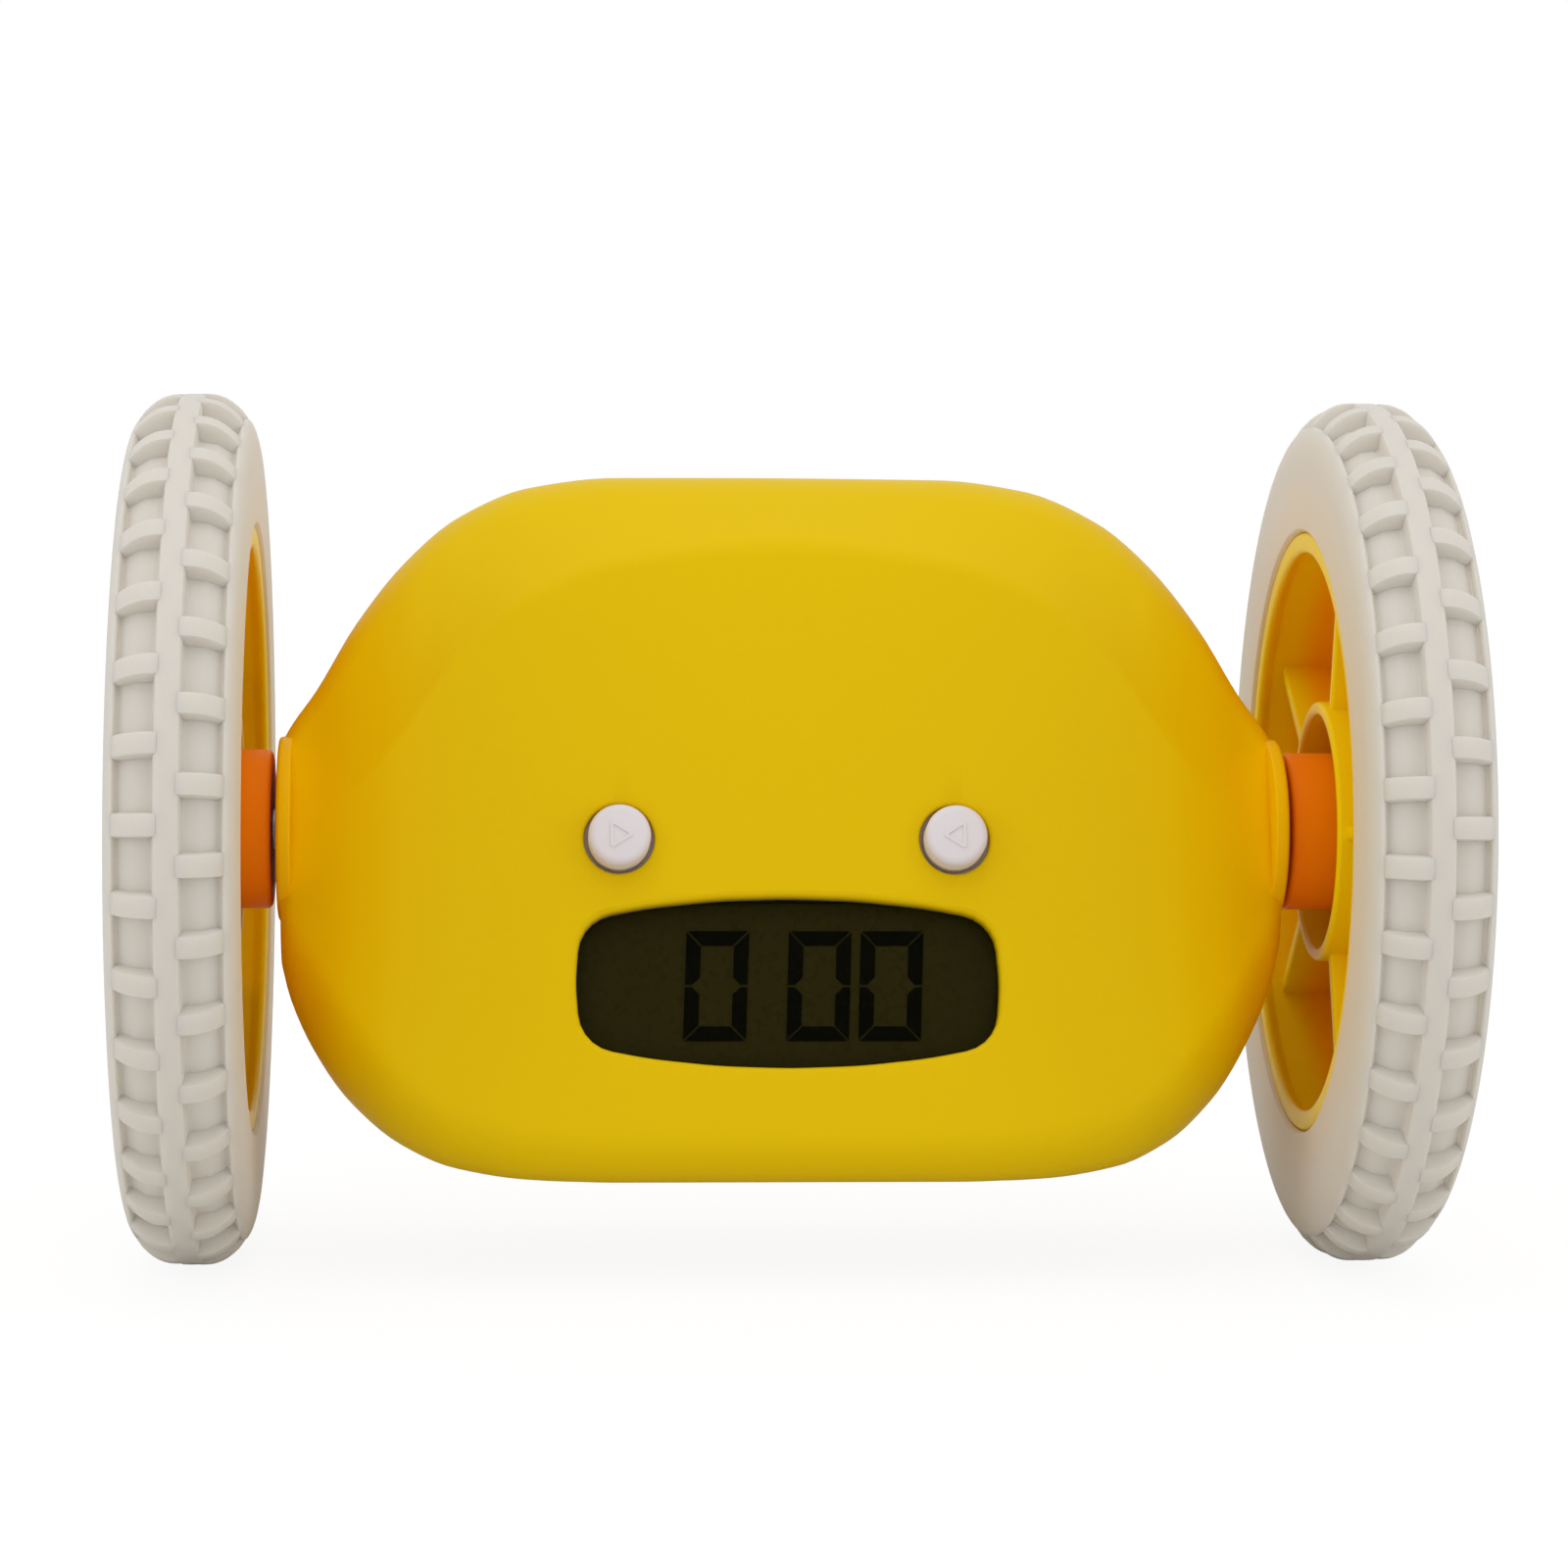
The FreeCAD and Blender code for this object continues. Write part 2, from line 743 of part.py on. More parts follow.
def set_switch(x):
    half = switch_side / 2
    top = rear_seat_y() - set_button_flange - button_travel - 0.05
    case = box(x - half, x + half, rear_board_y, top - 0.3, set_button_rise - half, set_button_rise + half)
    return case.fuse(rod_y(switch_plunger_radius, top - 0.8, top, x, set_button_rise)).removeSplitter()


def slide_switch_case():
    half_x = 4.6
    case = box(slide_x - half_x, slide_x + half_x, rear_board_y, rear_seat_y() - 1.2, slide_rise - 2, slide_rise + 2)
    slot = slide_travel / 2 + 1.1
    return case.cut(box(slide_x - slot, slide_x + slot, rear_seat_y() - 2.4, rear_seat_y(),
                        slide_rise - 1, slide_rise + 1))


def slide_knob():
    """The knob stands at one end of its slot, and a stem reaches into the switch."""
    x = slide_x - slide_travel / 2
    outer_y = body_stations[0][5]
    knob = box(x - slide_knob_width / 2, x + slide_knob_width / 2, rear_seat_y() + 0.1,
               outer_y + slide_knob_proud, slide_rise - slide_knob_height / 2, slide_rise + slide_knob_height / 2)
    grooves = []
    for i in range(3):
        groove_x = x + (i - 1) * 1.0
        grooves.append(box(groove_x - 0.2, groove_x + 0.2, outer_y + slide_knob_proud - 0.4, outer_y + 9,
                           slide_rise - 9, slide_rise + 9))
    stem = box(x - 0.9, x + 0.9, rear_seat_y() - 2.2, rear_seat_y() + 0.2, slide_rise - 0.8, slide_rise + 0.8)
    plate = box(x - 4.2, x + 4.2, rear_seat_y() - 0.9, rear_seat_y() - 0.1, slide_rise - 2.6, slide_rise + 2.6)
    return knob.cut(grooves).fuse([stem, plate]).removeSplitter()


def speaker():
    """A small loudspeaker: frame, cone facing the sound holes, and magnet."""
    y1 = rear_seat_y()
    frame = rod_y(speaker_radius, y1 - 1.4, y1, speaker_x, speaker_rise)
    cone_space = Part.makeCone(speaker_radius * 0.35, speaker_radius - 1.2, 1.2,
                               V(speaker_x, y1 - 1.1, axle_z + speaker_rise), V(0, 1, 0))
    magnet = rod_y(speaker_radius * 0.55, y1 - speaker_depth, y1 - 1.2, speaker_x, speaker_rise)
    return frame.cut(cone_space).fuse(magnet).removeSplitter()


# Drive

def gear(teeth, x0, x1, centre, tooth_angle, bore):
    """A spur gear along X with one tooth pointing at an angle, in degrees."""
    radius = pitch_radius(teeth)
    tip = radius + tooth_top
    root = radius - tooth_root
    slope = math.tan(math.radians(20))
    half = tooth_share * math.pi / teeth
    half_tip = half - tooth_top * slope / radius
    half_root = half + tooth_root * slope / radius
    corners = []
    for i in range(teeth):
        middle = math.radians(tooth_angle) + 2 * math.pi * i / teeth
        for turn, reach in ((-half_root, root), (-half_tip, tip), (half_tip, tip), (half_root, root)):
            y = centre[0] + reach * math.cos(middle + turn)
            z = centre[1] + reach * math.sin(middle + turn)
            corners.append(V(x0, y, axle_z + z))
    blank = Part.Face(Part.makePolygon(corners + corners[:1])).extrude(V(x1 - x0, 0, 0))
    return blank.cut(rod_x(bore, x0 - 1, x1 + 1, centre))


first_gear_x = frame_inner_x + frame_plate + gear_gap
second_gear_x = first_gear_x + first_gear_width
output_gear_x = shaft_start_x + 0.2


def output_gear():
    """The gear on the wheel shaft. Its tooth points at the small gear that drives it."""
    wide = gear(output_teeth, output_gear_x, output_gear_x + output_gear_width, (0.0, 0.0), compound_angle,
                shaft_radius)
    collar = rod_x(shaft_radius + 1.2, output_gear_x + output_gear_width, frame_outer_x - 0.3)
    return wide.fuse(collar.cut(rod_x(shaft_radius, 0, 99))).removeSplitter()


def compound_gear():
    """Large and small gear in one piece, turning on a fixed pin."""
    bore = gear_pin_radius + running_clearance
    towards_output = compound_angle + 180
    small_phase = towards_output + 180.0 / compound_small_teeth
    small = gear(compound_small_teeth, second_gear_x, output_gear_x + output_gear_width + 0.4, compound_centre,
                 small_phase, bore)
    large = gear(compound_large_teeth, first_gear_x, second_gear_x, compound_centre, motor_angle, bore)
    return large.fuse(small).removeSplitter()


def pinion():
    """The motor's pinion. A gap between its teeth faces the large gear's tooth."""
    phase = motor_angle + 180 + 180.0 / pinion_teeth
    return gear(pinion_teeth, first_gear_x - 0.2, second_gear_x + 0.1, motor_centre, phase, rotor_shaft_radius)


def gear_pin():
    return rod_x(gear_pin_radius, frame_inner_x + 0.1, frame_outer_x + frame_plate, compound_centre)


def plate_outline(corners, x0, x1, radius):
    points = [V(x0, y, axle_z + z) for y, z in corners]
    wire = rounded_wire(points, [radius] * len(points))
    return Part.Face(wire).extrude(V(x1 - x0, 0, 0))


frame_corners = [(-9.0, -11.2), (12.4, -10.0), (15.6, 12.0), (2.2, 14.8), (-4.2, 5.5)]
frame_pillars = [(9.4, -7.2), (13.2, 9.9)]


def gear_frame():
    """Two plates with pillars between them. It carries the motor, pin and shaft."""
    inner_end = frame_inner_x + frame_plate
    outer_end = frame_outer_x + frame_plate
    plates = [plate_outline(frame_corners, frame_inner_x, inner_end, 2.4),
              plate_outline(frame_corners, frame_outer_x, outer_end, 2.4)]
    pillars = [rod_x(pillar_radius, frame_inner_x + 0.5, outer_end - 0.5, place) for place in frame_pillars]
    low_foot = box(inner_end - 0.5, frame_outer_x + 0.5, frame_foot_low[0], frame_foot_low[0] + 1.6,
                   frame_foot_low[1] - frame_foot / 2, frame_foot_low[1] + frame_foot / 2)
    high_foot = box(second_gear_x + 1.2, frame_outer_x + 0.5, frame_foot_high[0], frame_foot_high[0] + 1.6,
                    frame_foot_high[1] - 1.0, frame_foot_high[1] + 1.0)
    whole = fused(plates + pillars + [low_foot, high_foot]).common(clear_form)
    holes = [rod_x(motor_neck_radius, frame_inner_x - 1, inner_end + 1, motor_centre),
             rod_x(gear_pin_radius, frame_inner_x - 1, outer_end + 1, compound_centre),
             rod_x(shaft_radius + running_clearance, frame_outer_x - 1, outer_end + 1)]
    return whole.cut(holes).removeSplitter()


def motor_core(radius, flats, x0, x1):
    """A round motor body with a flat above and below."""
    body = rod_x(radius, x0, x1, motor_centre)
    y, z = motor_centre
    return body.common(box(x0 - 1, x1 + 1, y - 2 * radius, y + 2 * radius, z - flats / 2, z + flats / 2))


motor_back_x = frame_inner_x - motor_length


def motor_can():
    can = motor_core(motor_radius, motor_flats, motor_back_x, frame_inner_x)
    hollow = motor_core(motor_radius - motor_can_wall, motor_flats - 2 * motor_can_wall,
                        motor_back_x + 2 * motor_can_wall, frame_inner_x - motor_can_wall)
    neck = rod_x(motor_neck_radius, frame_inner_x - 0.5, frame_inner_x + frame_plate, motor_centre)
    bore = rod_x(rotor_shaft_radius + running_clearance, motor_back_x - 1, frame_inner_x + 9, motor_centre)
    return can.cut(hollow).fuse(neck).cut(bore).removeSplitter()


def motor_rotor():
    """Shaft and slotted armature."""
    middle = motor_back_x + motor_length / 2
    body = rod_x(armature_radius, middle - armature_length / 2, middle + armature_length / 2, motor_centre)
    slots = []
    for i in range(armature_slots):
        y, z = polar(armature_radius, 360.0 * i / armature_slots)
        slots.append(rod_x(armature_slot_radius, 0, 99, (motor_centre[0] + y, motor_centre[1] + z)))
    shaft = rod_x(rotor_shaft_radius, motor_back_x + 0.3, second_gear_x + 0.1, motor_centre)
    return body.cut(slots).fuse(shaft).removeSplitter()


def bush():
    ring = rod_x(bush_radius, body_end_x - bush_length, body_end_x)
    return ring.cut(rod_x(shaft_radius + running_clearance, 0, 99))


# Wheels

def wheel_shaft():
    shaft = rod_x(shaft_radius, shaft_start_x, shaft_end_x)
    tips = [edge for edge in shaft.Edges if edge.Closed]
    shaft = shaft.makeChamfer(0.3, tips)
    return shaft.cut(rod_x(screw_shank_radius, shaft_end_x - 7, shaft_end_x + 1))


def wheel_sleeve():
    """The round sleeve between the body and the wheel."""
    sleeve = rod_x(sleeve_radius, sleeve_start_x, sleeve_end_x)
    rims = [edge for edge in sleeve.Edges if edge.Closed]
    sleeve = sleeve.makeFillet(0.3, rims)
    return sleeve.cut(rod_x(shaft_radius, 0, 99))


def wheel_rim():
    lip_inner = rim_lip_radius - rim_lip_width
    barrel_inner = tyre_bore_radius - rim_wall
    flange = tyre_outer_x - 0.6
    bowl = turned([
        (rim_lip_x + 0.4, lip_inner), (rim_lip_x, lip_inner + 0.5), (rim_lip_x, rim_lip_radius - 0.4),
        (rim_lip_x + 0.3, rim_lip_radius), (rim_lip_x + 1.2, rim_lip_radius), (rim_lip_x + 1.2, tyre_bore_radius),
        (flange - 1.6, tyre_bore_radius), (flange - 1.6, tyre_bore_radius + 1.0), (flange - 0.4, tyre_bore_radius + 1.0),
        (flange, tyre_bore_radius + 0.4), (flange, barrel_inner - 0.4), (web_outer_x + 0.4, barrel_inner - 1.6),
        (web_outer_x, barrel_inner - 3.4), (web_outer_x, shaft_radius), (shaft_end_x, shaft_radius),
        (sleeve_end_x, shaft_radius), (sleeve_end_x, hub_boss_radius), (web_inner_x, hub_boss_radius),
        (web_inner_x, barrel_inner), (rim_lip_x + 1.6, barrel_inner),
    ])
    ring = rod_x(hub_ring_radius, rim_lip_x + 1.6, web_inner_x + 0.5)
    ring = ring.cut(rod_x(hub_ring_radius - hub_ring_wall, 0, 99))
    ribs = []
    for i in range(rim_ribs):
        rib = box(rim_lip_x + 2.4, web_inner_x + 0.5, -rim_rib_width / 2, rim_rib_width / 2,
                  hub_ring_radius - hub_ring_wall / 2, tyre_bore_radius - rim_wall / 2)
        turn = 90 - rim_rib_first_angle + 360.0 * i / rim_ribs
        rib.rotate(V(0, 0, axle_z), V(1, 0, 0), turn)
        ribs.append(rib)
    return fused([bowl, ring] + ribs)


def crown_radius_at(offset):
    """Radius of the tread's crown at a distance from the wheel's middle plane."""
    reach = max(abs(offset) - centre_rib_width / 2, 0)
    span = lug_reach - centre_rib_width / 2
    return wheel_radius - 0.8 * shoulder_drop * (reach / span) ** 2


def tread_lug(side, angle):
    """One lug of the tread, rounded down towards the tyre's shoulder."""
    steps = 4
    start = centre_rib_width / 2 - 0.3
    floor = wheel_radius - shoulder_drop
    offsets = [start + (lug_reach - start) * i / steps for i in range(steps + 1)]
    points = [(start, floor - 0.4)]
    points += [(offset, crown_radius_at(offset)) for offset in offsets]
    points += [(lug_reach + 0.1, floor), (lug_reach - 0.3, floor - 0.4)]
    corners = [V(wheel_plane_x + side * offset, 0, axle_z + radius) for offset, radius in points]
    sweep = math.degrees(lug_length / wheel_radius)
    lug = Part.Face(Part.makePolygon(corners + corners[:1]))
    lug.rotate(V(0, 0, axle_z), V(1, 0, 0), angle - sweep / 2)
    return lug.revolve(V(0, 0, axle_z), V(1, 0, 0), sweep)


def tyre():
    """Rubber tyre: carcass, centre rib and two staggered rows of lugs."""
    half = tyre_width / 2
    rib = centre_rib_width / 2
    floor = wheel_radius - tread_depth
    shoulder = wheel_radius - shoulder_drop
    flange = tyre_outer_x - 0.6
    inner_half = [(-half + 0.5, rim_lip_radius), (-half, rim_lip_radius + 1.2), (-half, shoulder - 2.4),
                  (-half + 0.25, shoulder - 1.1), (-half + 0.9, shoulder - 0.2), (-lug_reach + 0.5, shoulder + 0.2),
                  (-rib - 1.2, floor - 0.1), (-rib, floor), (-rib, wheel_radius - 0.15),
                  (-rib + 0.3, wheel_radius)]
    outer_half = [(-x, radius) for x, radius in reversed(inner_half[2:])]
    section = [(wheel_plane_x + x, radius) for x, radius in inner_half + outer_half]
    section += [(tyre_outer_x, tyre_bore_radius + 1.6), (flange, tyre_bore_radius + 1.0),
                (flange - 1.6, tyre_bore_radius + 1.0), (flange - 1.6, tyre_bore_radius),
                (rim_lip_x + 1.2, tyre_bore_radius), (rim_lip_x + 1.2, rim_lip_radius)]
    carcass = turned(section)
    pitch = 360.0 / lugs_per_row
    lugs = []
    for i in range(lugs_per_row):
        lugs.append(tread_lug(-1, i * pitch))
        lugs.append(tread_lug(1, (i + 0.5) * pitch))
    return carcass.fuse(lugs).removeSplitter()


def hub_cap():
    """A shallow domed cap over the wheel screw."""
    start = web_outer_x
    end = start + hub_cap_height
    return turned([
        (start, hub_cap_radius), (start, hub_cap_radius - 1.2), (end - 0.7, hub_cap_radius - 1.6),
        (end - 0.7, 0.0), (end, 0.0), (end - 0.15, hub_cap_radius * 0.5), (end - 0.6, hub_cap_radius - 1.0),
        (end - 1.3, hub_cap_radius - 0.2),
    ])


def wheel_screw():
    head = rod_x(wheel_screw_head_radius, web_outer_x, web_outer_x + 1.3)
    washer_hole = rod_x(screw_shank_radius, shaft_end_x - 6, web_outer_x + 0.2)
    return head.fuse(washer_hole).removeSplitter()


def case_screws():
    """Four screws through the back and two through the bottom cover."""
    screws = []
    outer_y = body_stations[0][5]
    seat = outer_y - screw_recess
    for x, z in screw_places():
        shank = rod_y(screw_shank_radius, parting_y - screw_grip + 0.5, seat, x, z)
        head = rod_y(screw_head_radius, seat, seat + screw_head_height, x, z)
        screws.append(shank.fuse(head).removeSplitter())
    for x, y in cover_screw_places():
        seat_z = cover_top - cover_screw_floor
        shank = rod_z(screw_shank_radius, seat_z, seat_z + cover_screw_length, x, y)
        head = rod_z(screw_head_radius, -base_drop + 0.05, seat_z, x, y)
        screws.append(shank.fuse(head).removeSplitter())
    return Part.makeCompound(screws)


def main():
    os.makedirs("parts", exist_ok=True)
    export("front_shell", front_shell())
    export("rear_shell", rear_shell())
    export("bottom_cover", bottom_cover())
    export("battery_door", battery_door())
    for (row, layer), cell in cells().items():
        name = ("front", "rear")[row] + "_" + ("lower", "upper")[layer] + "_battery"
        export(name, cell)
    export("battery_contacts", battery_contacts())
    export("display_window", display_pane())
    export("lcd_panel", lcd_panel())
    export("lcd_contact_strip", contact_strip())
    export("lcd_frame", lcd_frame())
    export("main_board", main_board())
    export("rear_board", rear_board())
    export("speaker", speaker())
    export("slide_switch", slide_switch_case())
    export("slide_knob", slide_knob())
    for name, x in zip(("time_set", "alarm_set"), set_button_x):
        export(name + "_button", set_button(x))
        export(name + "_switch", set_switch(x))
    export("case_screws", case_screws())
    drive = {
        "gear_frame": gear_frame(), "motor_can": motor_can(), "motor_rotor": motor_rotor(),
        "motor_pinion": pinion(), "compound_gear": compound_gear(), "gear_pin": gear_pin(),
        "output_gear": output_gear(), "shaft_bush": bush(), "wheel_shaft": wheel_shaft(),
        "wheel_sleeve": wheel_sleeve(), "wheel_rim": wheel_rim(), "tyre": tyre(),
        "hub_cap": hub_cap(), "wheel_screw": wheel_screw(),
    }
    for side, name in ((-1, "left"), (1, "right")):
        export(name + "_button", front_button(side))
        export(name + "_button_switch", front_switch(side))
        for node, shape in drive.items():
            export(name + "_" + node, shape if side > 0 else mirrored(shape))


main()
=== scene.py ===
"""Looks of the runaway alarm clock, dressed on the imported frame.

Sizes are written in millimetres and become metres as each mesh is made. Heights in
the body are counted from the axle line, as in the part's own source.
"""
import bmesh
import bpy
import json
import math
from mathutils import Matrix, Vector


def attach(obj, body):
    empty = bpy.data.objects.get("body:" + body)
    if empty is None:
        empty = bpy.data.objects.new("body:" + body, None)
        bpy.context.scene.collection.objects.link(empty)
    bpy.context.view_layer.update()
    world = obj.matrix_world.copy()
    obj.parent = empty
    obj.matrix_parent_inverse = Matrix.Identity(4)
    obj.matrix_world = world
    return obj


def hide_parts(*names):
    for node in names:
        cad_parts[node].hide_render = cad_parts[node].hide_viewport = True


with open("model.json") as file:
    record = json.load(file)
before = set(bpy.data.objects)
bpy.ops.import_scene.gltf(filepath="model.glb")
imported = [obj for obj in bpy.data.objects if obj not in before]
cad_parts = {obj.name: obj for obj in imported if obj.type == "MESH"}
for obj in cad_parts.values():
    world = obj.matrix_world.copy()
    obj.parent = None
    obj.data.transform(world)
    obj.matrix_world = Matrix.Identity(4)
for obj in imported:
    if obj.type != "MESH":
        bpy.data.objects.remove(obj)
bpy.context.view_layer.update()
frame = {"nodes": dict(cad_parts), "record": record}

MM = 0.001
AXLE = 44.5  # height of the axle line above the floor
FACE_LEAN = math.radians(16)
FACE_AHEAD = 11.0  # how far the face lies in front of the axle line, at its height
SIDES = {"left": -1, "right": 1}

# Places that turn a shape's own axis, Z, to where the real one points
AXLE_PLACE = Matrix(((0, 0, 1, 0), (1, 0, 0, 0), (0, 1, 0, AXLE), (0, 0, 0, 1)))
FACE_PLACE = (Matrix.Translation((0, -FACE_AHEAD, AXLE))
              @ Matrix.Rotation(math.pi / 2 - FACE_LEAN, 4, "X"))
BACK_PLACE = Matrix.Translation((0, 0, AXLE)) @ Matrix.Rotation(-math.pi / 2, 4, "X")


# Shader maths

class Wire:
    """A shader output that can be written into sums and products."""

    def __init__(self, finish, socket):
        self.finish = finish
        self.socket = socket

    def math(self, operation, a, b):
        return self.finish.node("ShaderNodeMath", {"operation": operation}, {0: a, 1: b})

    def __add__(self, other):
        return self.math("ADD", self, other)

    def __radd__(self, other):
        return self.math("ADD", other, self)

    def __sub__(self, other):
        return self.math("SUBTRACT", self, other)

    def __rsub__(self, other):
        return self.math("SUBTRACT", other, self)

    def __mul__(self, other):
        return self.math("MULTIPLY", self, other)

    def __rmul__(self, other):
        return self.math("MULTIPLY", other, self)

    def __pow__(self, other):
        return self.math("POWER", self, other)

    def size(self):
        return self.math("ABSOLUTE", self, 0)

    def ramp_from(self, low, high):
        """0 at low, 1 at high, and smooth between them."""
        return self.finish.node("ShaderNodeMapRange", {"interpolation_type": "SMOOTHSTEP"},
                                {"Value": self, "From Min": low, "From Max": high})


class Finish:
    """A material built from nodes."""

    def __init__(self, name):
        self.material = bpy.data.materials.new(name)
        self.material.use_nodes = True
        self.tree = self.material.node_tree
        self.tree.nodes.clear()

    def node(self, kind, settings=None, values=None, output=0):
        made = self.tree.nodes.new(kind)
        for key, value in (settings or {}).items():
            setattr(made, key, value)
        for key, value in (values or {}).items():
            if isinstance(value, Wire):
                self.tree.links.new(value.socket, made.inputs[key])
            else:
                made.inputs[key].default_value = value
        return Wire(self, made.outputs[output]) if made.outputs else None

    def place(self):
        return self.node("ShaderNodeTexCoord", output="Object")

    def axis(self, place, name):
        return self.node("ShaderNodeSeparateXYZ", None, {0: place}, name)

    def noise(self, scale, detail=3.0, roughness=0.55):
        values = {"Vector": self.place(), "Scale": scale, "Detail": detail, "Roughness": roughness}
        return self.node("ShaderNodeTexNoise", None, values, "Fac")

    def blend(self, share, low, high):
        """A colour that goes from low to high as share goes from 0 to 1."""
        return self.node("ShaderNodeMix", {"data_type": "RGBA"}, {0: share, 6: low, 7: high}, 2)

    def grain(self, height, strength, distance):
        return self.node("ShaderNodeBump", None,
                         {"Height": height, "Strength": strength, "Distance": distance})

    def principled(self, values):
        return self.node("ShaderNodeBsdfPrincipled", None, values)

    def done(self, surface):
        self.node("ShaderNodeOutputMaterial", None, {"Surface": surface})
        return self.material


def colour(red, green, blue):
    """An sRGB colour, 0 to 255, as the linear colour that a shader takes."""
    linear = []
    for value in (red, green, blue):
        part = value / 255
        linear.append(part / 12.92 if part <= 0.04045 else ((part + 0.055) / 1.055) ** 2.4)
    return (*linear, 1)


def moulded(name, base, ends, rough, texture=0.25, near=0.030, far=0.053):
    """Moulded plastic with a fine eroded texture. Its tone changes between two distances
    from the middle, near and far, and comes back on the wheels' outer faces. Where base and ends
    differ, that change is painted light."""
    finish = Finish(name)
    across = finish.axis(finish.place(), "X").size()
    cloud = finish.noise(60, 2)
    wheel_outside = across.ramp_from(0.0626, 0.0638)
    # painted light: the share of the ends' tone from near to far; it brightens the body's ends against
    # the shade of its sides and paints orange bounce light deep in the wheel's bowl
    painted_light_share = across.ramp_from(near, far) * (1 - wheel_outside)
    depth = painted_light_share * 0.9 + (cloud - 0.5) * 0.12
    tone = finish.blend(depth, base, ends)
    wear = finish.noise(420, 4)
    fine = finish.noise(2600, 2)
    bump = finish.grain(fine * 0.7 + wear * 0.3, texture, 0.00006)
    return finish.done(finish.principled({
        "Base Color": tone, "Roughness": rough + (wear - 0.5) * 0.16, "Normal": bump,
        "Specular IOR Level": 0.07,
    }))


def rubber(name):
    """Milky soft rubber, warmer where the wheel shines through its thin inner wall."""
    finish = Finish(name)
    place = finish.place()
    y = finish.axis(place, "Y")
    z = finish.axis(place, "Z") - AXLE * MM
    reach = (y * y + z * z) ** 0.5
    warm = (1 - reach.ramp_from(0.0320, 0.0390)) * 0.5
    cloud = finish.noise(90, 3)
    tone = finish.blend(warm + (cloud - 0.5) * 0.16,
                        colour(221, 215, 205), colour(234, 214, 188))
    fine = finish.noise(1500, 3)
    bump = finish.grain(fine, 0.35, 0.00008)
    return finish.done(finish.principled({
        "Base Color": tone, "Roughness": 0.52 + (fine - 0.5) * 0.2, "Normal": bump,
        "Subsurface Weight": 0.25, "Subsurface Radius": (1.0, 0.85, 0.6), "Subsurface Scale": 0.0025,
    }))


def plain(name, tone, rough, metallic=0.0, streak=0.1, scale=300, texture=0.2, shine=0.5):
    """A finish whose tone and roughness drift a little, for the pieces inside."""
    finish = Finish(name)
    cloud = finish.noise(scale, 4)
    dark = tuple(part * (1 - 2 * streak) for part in tone[:3]) + (1,)
    fine = finish.noise(scale * 6, 2)
    return finish.done(finish.principled({
        "Base Color": finish.blend(cloud, dark, tone), "Metallic": metallic,
        "Roughness": rough + (cloud - 0.5) * 0.2, "Normal": finish.grain(fine, texture, 0.00005),
        "Specular IOR Level": shine,
    }))


def brushed(name, tone, rough):
    """Metal with lathe marks that run round the axle's direction."""
    finish = Finish(name)
    marks = finish.node("ShaderNodeTexWave", {"wave_type": "BANDS", "bands_direction": "X"},
                        {"Vector": finish.place(), "Scale": 900, "Distortion": 2.0, "Detail": 2.0},
                        "Fac")
    cloud = finish.noise(200, 3)
    dark = tuple(part * 0.7 for part in tone[:3]) + (1,)
    return finish.done(finish.principled({
        "Base Color": finish.blend(cloud * 0.6 + marks * 0.2, dark, tone), "Metallic": 1.0,
        "Roughness": rough + (marks - 0.5) * 0.12, "Normal": finish.grain(marks, 0.15, 0.00003),
    }))


def laminate(name):
    """Circuit board with faint copper tracks under its green lacquer."""
    finish = Finish(name)
    black, white = (0, 0, 0, 1), (1, 1, 1, 1)
    tracks = finish.node("ShaderNodeTexBrick", None,
                         {"Vector": finish.place(), "Scale": 260, "Mortar Size": 0.03,
                          "Color1": black, "Color2": black, "Mortar": white}, "Fac")
    return finish.done(finish.principled({
        "Base Color": finish.blend(tracks * 0.8, colour(16, 84, 44), colour(60, 128, 60)),
        "Roughness": 0.3 + finish.noise(300) * 0.2, "Normal": finish.grain(tracks, 0.3, 0.00004),
    }))


def clear_pane(name):
    """Clear hard plastic: it lets the display through and mirrors the room at a slant."""
    finish = Finish(name)
    gloss = finish.principled({"Base Color": (0.02, 0.02, 0.02, 1),
                               "Roughness": 0.08 + finish.noise(500) * 0.05})
    through = finish.node("ShaderNodeBsdfTransparent", None, {"Color": (0.86, 0.87, 0.80, 1)})
    share = finish.node("ShaderNodeFresnel", None, {"IOR": 1.3}) * 0.25
    return finish.done(finish.node("ShaderNodeMixShader", None, {0: share, 1: through, 2: gloss}))


def display_glass(name):
    """Unlit liquid crystal: dark olive, with the polariser's faint drift of tone."""
    finish = Finish(name)
    cloud = finish.noise(70, 3)
    return finish.done(finish.principled({
        "Base Color": finish.blend(cloud, colour(56, 49, 14), colour(60, 52, 16)),
        "Specular IOR Level": 0.08,
        "Roughness": 0.28 + (finish.noise(900) - 0.5) * 0.1,
    }))


def cell_sleeve(name):
    """Printed sleeve of a plain cell: dark body, bare metal at its ends."""
    finish = Finish(name)
    across = finish.axis(finish.place(), "X").size()
    sleeve_end = 0.0208
    bare = across.ramp_from(sleeve_end, sleeve_end + 0.0002)
    tone = finish.blend(bare, colour(40, 44, 52), colour(196, 196, 192))
    wear = finish.noise(400, 4)
    return finish.done(finish.principled({
        "Base Color": tone, "Metallic": bare * 0.9, "Roughness": 0.28 + wear * 0.2,
        "Normal": finish.grain(wear, 0.1, 0.00004),
    }))


